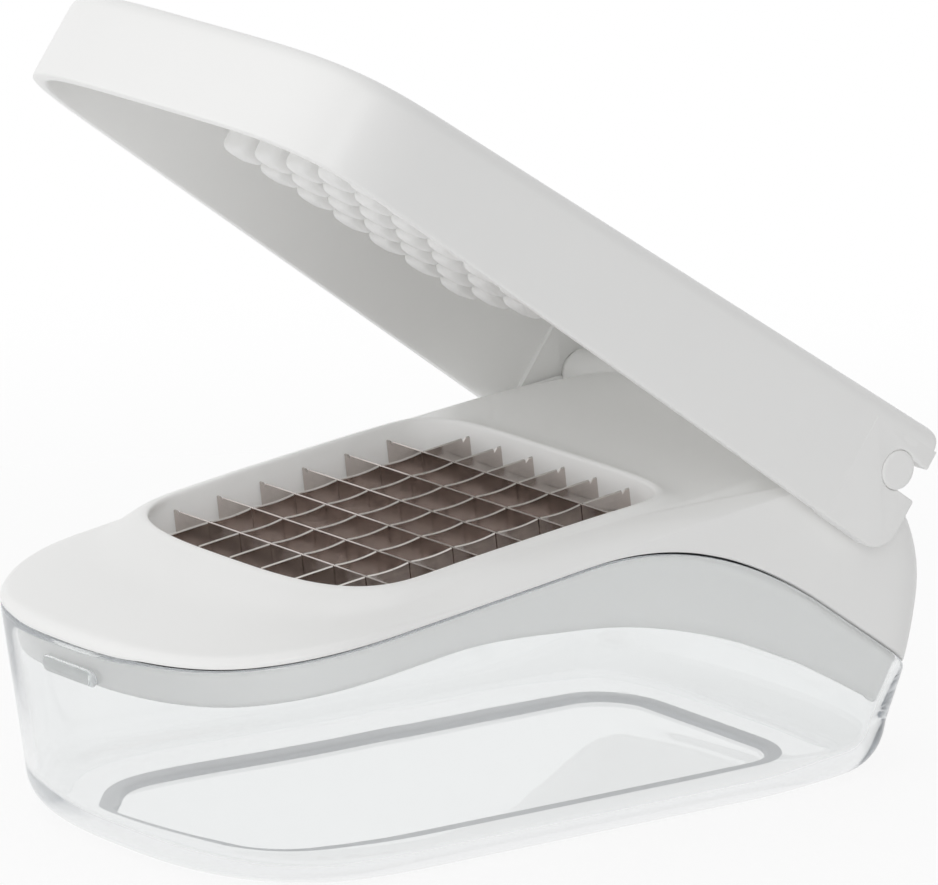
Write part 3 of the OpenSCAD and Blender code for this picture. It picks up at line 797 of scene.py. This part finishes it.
class CHOPPER_OT_body(bpy.types.Operator):
    """White body with flanks, deck, lip around the grid, skirt and hinge barrel"""
    bl_idname = "chopper.body"
    bl_label = "White body"

    # Inset, bulge at the rear and height share, from the seam to the crease.
    flank = ((0.5, 0, 0), (0.38, 1.3, 0.12), (0.3, 2.6, 0.27), (0.3, 3.9, 0.45), (0.35, 3.9, 0.6),
             (0.4, 2.4, 0.77), (0.45, -0.2, 0.9))
    # Shares of the way from the crease to the lip.
    deck = (0.02, 0.05, 0.1, 0.16, 0.23, 0.32, 0.44, 0.58, 0.72, 0.85, 0.94)
    # Inset, height, slope and rise to the hinge, over the lip.
    lip = ((0.8, 2, 0.029, 0.45), (1.7, 2.35, 0.03, 0.85), (2.6, 2.4, 0.03, 0.95), (3, 2.25, 0.03, 0.9),
           (3.3, 1.8, 0.028, 0.75))
    # Inset and height, down the seat of the blade frame and up behind it.
    frame_seat = ((3.7, -0.6), (4.2, -3), (4.6, -6.5), (0, -6.5), (0, -3.6))
    # Width of each crisp edge, from the foot of the seat to the groove behind the rim.
    edges = (0.3, 0.4, 0.4, 0.8, 0.4, 0.4, 0.2, 0.1, 0.1)
    seam_edge = 0.25
    groove_depth, groove_height, groove_rows = 1.6, 0.85, 4
    barrel_radius, barrel_round, barrel_middle = 5.9, 0.4, 20

    def execute(self, context):
        g = ChopperForm()
        f, outer = g.frame_outer, g.container_wall + g.skirt_gap
        inner = outer + g.body_wall
        rings = [g.flank_ring(*row) for row in (*self.flank, g.crease_place)]
        rings += [g.deck_ring(t) for t in self.deck]
        rings += [g.lip_ring(f - inset, *row) for inset, *row in self.lip]
        # Under the lip the wall goes over from the lip's outline to the squarer one of the seat.
        rings.append(mix(g.lip_ring(f - 3.5, 0.8, 0.024, 0.5), g.seat_ring(f - 3.5, 0.6), 0.3))
        rings += [g.seat_ring(f - inset, h) for inset, h in self.frame_seat]
        rings += [g.under_ring(inner), g.skirt_ring(inner), g.skirt_ring(outer)]
        # A groove behind the rim, with its faces painted dark grey as a painted shadow, keeps the seam dark.
        back, low = outer + self.groove_depth, self.groove_height
        rings += [g.edge_ring(outer, low), g.edge_ring(back, low), g.edge_ring(back, 0)]
        first = len(rings) - len(self.edges)
        tight = {first + i: width for i, width in enumerate(self.edges)}
        rings = crisp(rings, {0: self.seam_edge, **tight})
        shell = loft(rings, True)
        last = len(rings) - 1
        # The groove's rows take the dark painted shadow.
        paint_rows(shell, len(rings[0]), last - self.groove_rows, last)
        end, middle = g.barrel_half, self.barrel_middle
        levels = [(end, 0.9), (end, 0.93), (end - self.barrel_round, 1), (middle, 1)]
        levels = [(-z, share) for z, share in levels] + levels[::-1]
        barrel = turned(g.hinge_place() @ Matrix.Rotation(QUARTER, 4, "X"), self.barrel_radius, levels)
        piece("body_white", merge(shell, barrel), Matrix(), ["moulded_abs", "moulded_abs_groove"],
              "cutter", ["body"], 1)
        return {"FINISHED"}


class CHOPPER_OT_blades(bpy.types.Operator):
    """Twelve half-lapped strips with ground cutting edges"""
    bl_idname = "chopper.blades"
    bl_label = "Blade strips"

    # Play beside a crossing strip, the notch near each end, and the teeth's edge below the grid.
    lap_play, notch, notch_back, notch_in, tooth_low, scallop_n = 0.14, 1.0, 0.25, 1.9, -0.02, 15
    # How far the ground slant reaches down, the share of the thickness left as land, and the bright zone.
    slants = {"cross": 0.05, "long": 0.24}
    land, bright_zone = 0.35, 0.9

    def profile(self, g, kind):
        """Cutting edge from one end to the other, then the foot back, with 1 for each ground side."""
        half, depth, notch = g.blade_half, g.blade_depth, self.notch
        gap, at = g.blade_thickness / 2 + self.lap_play, half - self.notch_in
        near = at - notch * self.notch_back
        places = [g.strip_place(k) for k in BLADES]
        line = [(half, -depth, 0), (half, 0, 1), (at + notch, 0, 0), (at, -notch, 0), (near, 0, 1)]
        if kind == "long":
            for k, c in reversed(list(enumerate(places))):
                edge = self.tooth_low if k < len(places) - 1 else 0
                line += [(c + gap, edge, 0), (c + gap, -depth / 2, 0)]
                line += [(c - gap, -depth / 2, 0), (c - gap, self.tooth_low, 1)]
                # A hollow on the way to the next slot.
                for t in np.linspace(0.06, 0.94, self.scallop_n) if k else ():
                    u = mix(c - gap, places[k - 1] + gap, t)
                    line.append((u, -g.scallop_depth * (1 - (2 * t - 1) ** 2), 1))
        line += [(-near, 0, 0), (-at, -notch, 0), (-at - notch, 0, 1), (-half, 0, 0), (-half, -depth, 0)]
        if kind == "cross":
            for c in places:
                line += [(c - gap, -depth, 0), (c - gap, -depth / 2, 0)]
                line += [(c + gap, -depth / 2, 0), (c + gap, -depth, 0)]
        return [(u, v) for u, v, ground in line], [ground for u, v, ground in line]

    def execute(self, context):
        g = ChopperForm()
        t = g.blade_thickness / 2
        land = t * self.land
        for kind, slant in self.slants.items():
            line, ground = self.profile(g, kind)
            for i in BLADES:
                strip = plate(line, ground, [(-t, slant), (-land, 0), (land, 0), (t, slant)])
                for face in strip.faces:
                    # The slants and the land along a long strip's cutting edge are ground bright.
                    high = all(v.co.z > -g.scallop_depth - self.bright_zone for v in face.verts)
                    face.material_index = int(kind == "long" and high and abs(face.normal.z) > 0.1)
                if kind == "cross":
                    place = Matrix.Translation((g.strip_place(i), 0, 0)) @ Matrix.Rotation(QUARTER, 4, "Z")
                else:
                    place = Matrix.Translation((0, g.strip_place(i), 0))
                place = g.grid_matrix() @ place
                piece(f"{kind}_strip_{i}", strip, place, ["stainless_strip", "ground_edge"],
                      "cutter", [f"{kind}_blade_{i}"], 0, 25)
        return {"FINISHED"}


class CHOPPER_OT_blade_frame(bpy.types.Operator):
    """Finish of the frame and the retainer that hold the strips"""
    bl_idname = "chopper.blade_frame"
    bl_label = "Blade frame and retainer"

    def execute(self, context):
        for name in ("blade_frame", "blade_retainer"):
            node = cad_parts[name]
            node.data.materials.clear()
            node.data.materials.append(material_of("moulded_abs"))
        return {"FINISHED"}


class CHOPPER_OT_screws(bpy.types.Operator):
    """Four screws with a cross recess under the retainer"""
    bl_idname = "chopper.screws"
    bl_label = "Frame screws"

    head_height, retainer, screw_count = 1.2, 2.0, 4
    slot_size = (3.0, 0.55, 1.2)

    def execute(self, context):
        g = ChopperForm()
        values = {"Place": g.frame_outer - 2.4, "Shank": 1.25, "Head": 2.4, "Head height": self.head_height,
                  "Length": g.blade_depth - 1.6}
        tree, given = new_tree("screw_ring", values)
        head = add(tree, "GeometryNodeMeshCylinder", sockets={
            "Vertices": 40, "Side Segments": 1, "Radius": given["Head"], "Depth": given["Head height"]})
        bar = add(tree, "GeometryNodeMeshCube", sockets={"Size": self.slot_size})
        low = add(tree, "GeometryNodeTransform", sockets={
            "Geometry": bar.outputs["Mesh"], "Translation": (0, 0, -self.slot_size[2] / 2)})
        across = add(tree, "GeometryNodeTransform", sockets={
            "Geometry": low.outputs["Geometry"], "Rotation": (0, 0, QUARTER)})
        cross = add(tree, "GeometryNodeMeshBoolean", {"operation": "DIFFERENCE"}, {
            "Mesh 1": head.outputs["Mesh"], "Mesh 2": low.outputs["Geometry"]})
        tree.links.new(across.outputs["Geometry"], cross.inputs["Mesh 2"])
        shank = add(tree, "GeometryNodeMeshCylinder", sockets={
            "Vertices": 32, "Radius": given["Shank"], "Depth": given["Length"]})
        half = add(tree, "ShaderNodeMath", {"operation": "MULTIPLY"}, {0: given["Length"], 1: 0.5})
        rise = add(tree, "ShaderNodeCombineXYZ", sockets={"Z": half.outputs[0]})
        lifted = add(tree, "GeometryNodeTransform", sockets={
            "Geometry": shank.outputs["Mesh"], "Translation": rise.outputs[0]})
        screw = add(tree, "GeometryNodeJoinGeometry", sockets={"Geometry": cross.outputs["Mesh"]})
        tree.links.new(lifted.outputs["Geometry"], screw.inputs["Geometry"])
        ring = add(tree, "GeometryNodeMeshCircle", sockets={
            "Vertices": self.screw_count, "Radius": given["Place"]})
        each = add(tree, "GeometryNodeInstanceOnPoints", sockets={
            "Points": ring.outputs["Mesh"], "Instance": screw.outputs["Geometry"]})
        end_tree(tree, each.outputs["Instances"], "zinc_screw")
        obj = grown("frame_screws_zinc", tree, values)
        down = Matrix.Translation((0, 0, -g.blade_depth - self.retainer + self.head_height / 2))
        obj.data.transform(TO_METRES @ g.grid_matrix() @ down)
        obj.data.set_sharp_from_angle(angle=math.radians(35))
        seat(obj, "cutter", ["frame_screws"])
        return {"FINISHED"}


class CHOPPER_OT_hinge_pins(bpy.types.Operator):
    """Two pins with rounded ends on which the ears snap"""
    bl_idname = "chopper.hinge_pins"
    bl_label = "Hinge pins"

    def execute(self, context):
        g = ChopperForm()
        root, end = g.barrel_half - 9, g.ear_outer
        levels = [(root, 0.98), (root + 0.2, 1), (end - 2, 1), (end - 0.55, 1), (end - 0.2, 0.975),
                  (end - 0.03, 0.91), (end, 0.8), (end, 0.4)]
        for name, turn in (("near", QUARTER), ("far", -QUARTER)):
            pin = turned(g.hinge_place() @ Matrix.Rotation(turn, 4, "X"), g.pin_radius, levels)
            piece(f"hinge_pin_{name}_white", pin, Matrix(), ["moulded_abs"],
                  "cutter", [f"hinge_pin_{name}"], 0, 40)
        return {"FINISHED"}


class CHOPPER_OT_lid(bpy.types.Operator):
    """White press lid with a rounded top edge, a straight rim and two ears"""
    bl_idname = "chopper.lid"
    bl_label = "Press lid"

    # Rounding of the top edge, how far the shell lies behind the ears' faces, and the play around the pins.
    top_round, sunk, pin_play = 4.2, 0.03, 0.06
    # Half width of a slot's mouth less than the pin, and how far the ear stops short above it.
    snap, hook_back = 0.8, 0.7
    # Height of the lid's lower edge over the hinge, and where it begins.
    arch, arch_from = 4.6, -11
    ear_edge = 0.5

    def shell(self, g):
        """Inner face, rim, outer face and top in one loft."""
        r, w = self.top_round, g.lid_wall

        def ring(inset, drop, sunk=0.0):
            line = g.lid_line(inset, sunk)
            return g.at(line, g.lid_top(line[:, 0]) - drop)

        def rim(inset, up, sunk=0.0):
            """Lower edge: straight along the walls, lifted over the hinge where the ears take its place."""
            line = g.lid_line(inset, sunk)
            return g.at(line, np.where(line[:, 0] < self.arch_from, -g.lid_drop, self.arch) + up)

        ceiling = ((8, 0), (3, 0), (1.5, 0.3), (0.4, 1.5), (0, 3))
        rings = [ring(w + inset, w + drop) for inset, drop in ceiling]
        rings += [rim(w, 4), rim(w, 0.35), rim(w - 0.35, 0)]
        for inset, up in ((0.5, 0), (0.14, 0.14), (0, 0.5), (0, 2.5)):
            rings.append(rim(inset, up, self.sunk))
        rings += [ring(r * (1 - math.cos(a)), r * (1 - math.sin(a)), self.sunk) for a in ARC]
        return loft([*rings, ring(r + 4, 0)])

    def ear(self, g, sign):
        """Ear with a rounded lower corner and an open slot that snaps on the pin."""
        bore, neck, c = g.pin_radius + self.pin_play, g.pin_radius - self.snap, g.ear_corner
        front, rear = g.ear_front, g.ear_rear
        mouth = math.degrees(math.asin(neck / bore))
        line = [(front, -g.lid_drop)]
        for a in np.radians(np.arange(-90, 1, 7.5)):
            line.append((rear - c + c * math.cos(a), -g.lid_drop + c + c * math.sin(a)))
        corner = ((0, 0.5), (0.15, 0.15), (0.5, 0))
        line += [(rear - back, -neck - off) for back, off in corner]
        for a in np.radians(-np.linspace(mouth, 360 - mouth, 49)):
            line.append((bore * math.cos(a), bore * math.sin(a)))
        # Above the slot the ear stops short, inside the rounded corner of the lid.
        hook, under = rear - self.hook_back, self.top_round + 0.1
        line += [(hook - back, neck + off) for back, off in reversed(corner)]
        soft = [1] * len(line) + [0, 0]
        line += [(hook, g.lid_top(rear) - under), (front, g.lid_top(front) - under)]
        inner, outer = g.ear_inner, g.ear_outer
        edge = ((0, self.ear_edge), (0.07, 0.25), (0.25, 0.07), (self.ear_edge, 0))
        levels = [(inner + deep, inset) for deep, inset in edge]
        levels += [(outer - deep, inset) for deep, inset in reversed(edge)]
        mesh = plate(line, soft, levels)
        for v in mesh.verts:
            v.co.y *= sign * (1 - g.lid_taper * max(0, -v.co.x) / g.lid_reach)
        return mesh

    def execute(self, context):
        g = ChopperForm()
        place, finish = g.lid_matrix(), ["moulded_abs"]
        parts = [shaped("lid_white", self.shell(g), place, finish, levels=1)]
        parts += [shaped("lid_white", self.ear(g, sign), place, finish, sharp=35) for sign in (-1, 1)]
        seat(joined(parts), "press", ["lid"])
        return {"FINISHED"}


class CHOPPER_OT_pusher(bpy.types.Operator):
    """Plate under the lid with a rounded post for each cell"""
    bl_idname = "chopper.pusher"
    bl_label = "Pusher posts"

    # Height of a post's rounded tip, how much narrower it gets there, and how far the posts stop short.
    dome, cut, short = 2.0, 0.46, 1.0
    # Plate: thickness, edge beyond the cells and corner.
    thick, border, corner = 2.0, 3.75, 6.0

    def plate_mesh(self, g):
        """Rounded square plate under the ceiling of the lid."""
        half, c = CELLS / 2 * g.cell_pitch + self.border, self.corner
        line = []
        for sx, sy, start in ((1, 1, 0), (-1, 1, 90), (-1, -1, 180), (1, -1, 270)):
            for a in np.radians(start + np.arange(0, 91, 10)):
                line.append((sx * (half - c) + c * math.cos(a), sy * (half - c) + c * math.sin(a)))
        t = self.thick
        base = plate(line, np.ones(len(line)), [(0.0, 0.0), (t - 0.4, 0.0), (t - 0.1, 0.1), (t, 0.4)])
        base.transform(Matrix.Rotation(-QUARTER, 4, "X"))
        made = bpy.data.meshes.new("plate")
        base.to_mesh(made)
        base.free()
        return made

    def execute(self, context):
        g = ChopperForm()
        along = g.hinge_x - g.grid_x
        ceiling = g.lid_top(-along) - g.lid_wall
        length = ceiling + g.post_drop - self.short
        values = {"Pitch": g.cell_pitch, "Width": g.post_width, "Corner": 2.0, "Length": length,
                  "Cells": CELLS}
        tree, given = new_tree("post_field", values)
        gaps = add(tree, "ShaderNodeMath", {"operation": "SUBTRACT"}, {0: given["Cells"], 1: 1.0})
        span = add(tree, "ShaderNodeMath", {"operation": "MULTIPLY"}, {
            0: gaps.outputs[0], 1: given["Pitch"]})
        field = add(tree, "GeometryNodeMeshGrid", sockets={
            "Size X": span.outputs[0], "Size Y": span.outputs[0],
            "Vertices X": given["Cells"], "Vertices Y": given["Cells"]})
        square = add(tree, "GeometryNodeCurvePrimitiveQuadrilateral", sockets={
            "Width": given["Width"], "Height": given["Width"]})
        rounded = add(tree, "GeometryNodeFilletCurve", {"mode": "POLY"}, {
            "Curve": square.outputs["Curve"], "Radius": given["Corner"], "Count": 6})
        down = add(tree, "ShaderNodeMath", {"operation": "MULTIPLY"}, {0: given["Length"], 1: -1.0})
        tip = add(tree, "ShaderNodeCombineXYZ", sockets={"Z": down.outputs[0]})
        stem = add(tree, "GeometryNodeCurvePrimitiveLine", sockets={"End": tip.outputs[0]})
        steps = add(tree, "GeometryNodeResampleCurve", sockets={"Curve": stem.outputs["Curve"], "Count": 41})
        share = add(tree, "GeometryNodeSplineParameter").outputs["Factor"]
        # Straight sides, then a quarter round into a nearly flat tip.
        width = add(tree, "ShaderNodeFloatCurve", sockets={"Value": share})
        curve, dome = width.mapping.curves[0], self.dome / length
        curve.points[0].location = (0.0, 1.0)
        curve.points[1].location = (1.0, 1 - self.cut)
        for a in np.radians((0, 20, 40, 55, 70, 82)):
            curve.points.new(1 - dome + dome * math.sin(a), 1 - self.cut * (1 - math.cos(a)))
        for point in curve.points:
            point.handle_type = "VECTOR"
        width.mapping.update()
        sweep = add(tree, "GeometryNodeCurveToMesh", sockets={
            "Curve": steps.outputs["Curve"], "Profile Curve": rounded.outputs["Curve"],
            "Scale": width.outputs[0], "Fill Caps": True})
        posts = add(tree, "GeometryNodeInstanceOnPoints", sockets={
            "Points": field.outputs["Mesh"], "Instance": sweep.outputs["Mesh"]})
        both = add(tree, "GeometryNodeJoinGeometry", sockets={"Geometry": posts.outputs["Instances"]})
        tree.links.new(given["Geometry"], both.inputs["Geometry"])
        end_tree(tree, both.outputs["Geometry"], "moulded_abs_posts")
        obj = grown("pusher_white", tree, values, self.plate_mesh(g))
        place = Matrix.Translation((-along, 0, ceiling)) @ Matrix.Rotation(-math.atan(g.lid_slope), 4, "Y")
        obj.data.transform(TO_METRES @ g.lid_matrix() @ place)
        obj.data.set_sharp_from_angle(angle=math.radians(40))
        seat(obj, "press", ["pusher"])
        return {"FINISHED"}


def seen(tree):
    """1 for what the eye sees, also by way of gloss or clear plastic, and 0 for the light on the object."""
    path = add(tree, "ShaderNodeLightPath").outputs
    eye = add(tree, "ShaderNodeMath", {"operation": "MAXIMUM"}, {
        0: path["Is Camera Ray"], 1: path["Is Glossy Ray"]})
    return add(tree, "ShaderNodeMath", {"operation": "MAXIMUM"}, {
        0: eye.outputs[0], 1: path["Is Transmission Ray"]}).outputs[0]


def white_laminate():
    """White laminate that fades into the white surround, so that no horizon shows."""
    material, tree = new_material("white_laminate")
    place = add(tree, "ShaderNodeTexCoord").outputs["Object"]
    away = add(tree, "ShaderNodeVectorMath", {"operation": "LENGTH"}, {0: place})
    fade = add(tree, "ShaderNodeMapRange", {"interpolation_type": "SMOOTHSTEP"}, {
        "Value": away.outputs["Value"], "From Min": 0.2, "From Max": 0.5})
    # A very faint mottling, 20 mm across.
    speck = add(tree, "ShaderNodeTexNoise", sockets={"Vector": place, "Scale": 1 / 0.02, "Detail": 2.0})
    tone = add(tree, "ShaderNodeMix", {"data_type": "RGBA"}, {
        0: speck.outputs["Fac"], 6: (*linear("#FAFAFA"), 1), 7: (*linear("#FFFFFF"), 1)})
    paper = add(tree, "ShaderNodeBsdfPrincipled", sockets={
        "Base Color": tone.outputs[2], "Roughness": 0.7, "Specular IOR Level": 0.2})
    share = add(tree, "ShaderNodeMath", {"operation": "MULTIPLY"}, {0: seen(tree), 1: 0.88})
    white = add(tree, "ShaderNodeEmission", sockets={"Strength": 1.0})
    shown = add(tree, "ShaderNodeMixShader", sockets={
        0: share.outputs[0], 1: paper.outputs["BSDF"], 2: white.outputs["Emission"]})
    none = add(tree, "ShaderNodeBsdfTransparent")
    both = add(tree, "ShaderNodeMixShader", sockets={
        0: fade.outputs["Result"], 1: shown.outputs[0], 2: none.outputs["BSDF"]})
    add(tree, "ShaderNodeOutputMaterial", sockets={"Surface": both.outputs["Shader"]})
    return material


def white_surround():
    """Tent of white cloth, brightest on the left, where it shines in under the lid.
    The eye sees it as plain white."""
    world = bpy.data.worlds.new("white_surround")
    world.use_nodes = True
    tree = world.node_tree
    tree.nodes.clear()
    bright_side = (-0.92, 0.32, 0.22)
    side = add(tree, "ShaderNodeVectorMath", {"operation": "DOT_PRODUCT"}, {
        0: add(tree, "ShaderNodeTexCoord").outputs["Generated"], 1: bright_side})
    tent = add(tree, "ShaderNodeMapRange", {"interpolation_type": "SMOOTHSTEP"}, {
        "Value": side.outputs["Value"], "From Min": -0.9, "From Max": 0.9, "To Min": 0.32, "To Max": 0.89})
    level = add(tree, "ShaderNodeMix", {"data_type": "FLOAT"}, {
        0: seen(tree), 2: tent.outputs["Result"], 3: 1.0})
    sky = add(tree, "ShaderNodeBackground", sockets={"Color": (1, 1, 1, 1), "Strength": level.outputs[0]})
    add(tree, "ShaderNodeOutputWorld", sockets={"Surface": sky.outputs["Background"]})
    return world


class CHOPPER_OT_stage(bpy.types.Operator):
    """Pale table, soft lamps and the camera"""
    bl_idname = "chopper.stage"
    bl_label = "Stage"

    table_radius = 1.5
    # The table lies a hair inside the container's foot, so that the two faces don't fight.
    table_height = 0.0001
    # Place, size in metres and power in watts of each lamp, all turned to one point of the part.
    lamps = {
        "key_left": ((-1.6, -0.35, 0.7), 1.0, 0.6),
        "back_left": ((-1.1, 1.3, 0.5), 0.8, 0.5),
        "top_soft": ((-0.1, 0.1, 1.7), 1.4, 1.2),
        "front_soft": ((-0.8, -1.6, 0.95), 0.8, 4.2),
    }
    lamp_aim = Vector((0, 0, 0.07))
    # The camera was fitted to the corners of the blade grid in the photograph.
    photo_width, photo_height, focal_px = 938, 885, 10000.0
    grid_px, grid_py = 394.33, 512.55
    grid_middle = Vector((-0.0135, 0, 0.063))
    distance, turn, rise = 2.1482, math.radians(36.6), math.radians(13.97)
    sensor = 36.0

    def execute(self, context):
        scene = context.scene
        scene.view_settings.view_transform = "Standard"
        # Long light paths, for the clear walls, the facing strips and the white hollow under the lid.
        scene.cycles.diffuse_bounces = 10
        scene.cycles.glossy_bounces = 64
        scene.cycles.transmission_bounces = 64
        scene.cycles.max_bounces = 96
        mesh = bmesh.new()
        bmesh.ops.create_circle(mesh, cap_ends=True, segments=96, radius=self.table_radius)
        data = bpy.data.meshes.new("table")
        mesh.to_mesh(data)
        mesh.free()
        data.transform(Matrix.Translation((0, 0, self.table_height)))
        data.materials.append(white_laminate())
        table = bpy.data.objects.new("table", data)
        scene.collection.objects.link(table)
        scene.world = white_surround()
        for name, (spot, size, watts) in self.lamps.items():
            lamp = bpy.data.lights.new(name, "AREA")
            lamp.shape, lamp.size, lamp.energy = "SQUARE", size, watts
            obj = bpy.data.objects.new(name, lamp)
            obj.location = spot
            obj.rotation_euler = (self.lamp_aim - Vector(spot)).to_track_quat("-Z", "Y").to_euler()
            scene.collection.objects.link(obj)
        self.camera(scene)
        return {"FINISHED"}

    def camera(self, scene):
        """Camera that sees the middle of the grid at its pixel."""
        turn, rise = self.turn, self.rise
        right = Vector((math.cos(turn), -math.sin(turn), 0))
        ahead = Vector((math.sin(turn) * math.cos(rise), math.cos(turn) * math.cos(rise), -math.sin(rise)))
        up = right.cross(ahead)
        pixel = self.distance / self.focal_px
        spot = self.grid_middle - ahead * self.distance
        spot += up * (self.grid_py - self.photo_height / 2) * pixel
        spot -= right * (self.grid_px - self.photo_width / 2) * pixel
        camera = bpy.data.cameras.new("camera")
        camera.sensor_fit, camera.sensor_width = "HORIZONTAL", self.sensor
        camera.lens = self.sensor * self.focal_px / self.photo_width
        camera.clip_end = 50
        obj = bpy.data.objects.new("camera", camera)
        obj.matrix_world = Matrix.Translation(spot) @ Matrix((right, up, -ahead)).transposed().to_4x4()
        scene.collection.objects.link(obj)
        scene.camera = obj


STEPS = (CHOPPER_OT_stage, CHOPPER_OT_container, CHOPPER_OT_body, CHOPPER_OT_blades, CHOPPER_OT_blade_frame,
         CHOPPER_OT_screws, CHOPPER_OT_hinge_pins, CHOPPER_OT_lid, CHOPPER_OT_pusher)


class CHOPPER_PT_panel(bpy.types.Panel):
    """Sizes, colours and pieces of the chopper"""
    bl_idname = "CHOPPER_PT_panel"
    bl_label = "Chopper"
    bl_space_type = "VIEW_3D"
    bl_region_type = "UI"
    bl_category = "Chopper"

    def draw(self, context):
        for group in (context.scene.chopper_sizes, context.scene.chopper_colours):
            column = self.layout.column(align=True)
            for name in type(group).__annotations__:
                column.prop(group, name)
        for step in STEPS:
            self.layout.operator(step.bl_idname)


CLASSES = (ChopperSizes, ChopperColours, *STEPS, CHOPPER_PT_panel)


def register():
    """Add the classes and the two groups of values."""
    for cls in CLASSES:
        bpy.utils.register_class(cls)
    bpy.types.Scene.chopper_sizes = bpy.props.PointerProperty(type=ChopperSizes)
    bpy.types.Scene.chopper_colours = bpy.props.PointerProperty(type=ChopperColours)


def unregister():
    """Take out what register added."""
    del bpy.types.Scene.chopper_sizes
    del bpy.types.Scene.chopper_colours
    for cls in reversed(CLASSES):
        bpy.utils.unregister_class(cls)


def main():
    """Register the steps and make every piece in order."""
    register()
    bpy.ops.chopper.stage()
    bpy.ops.chopper.container()
    bpy.ops.chopper.body()
    bpy.ops.chopper.blades()
    bpy.ops.chopper.blade_frame()
    bpy.ops.chopper.screws()
    bpy.ops.chopper.hinge_pins()
    bpy.ops.chopper.lid()
    bpy.ops.chopper.pusher()


if __name__ == "__main__":
    main()
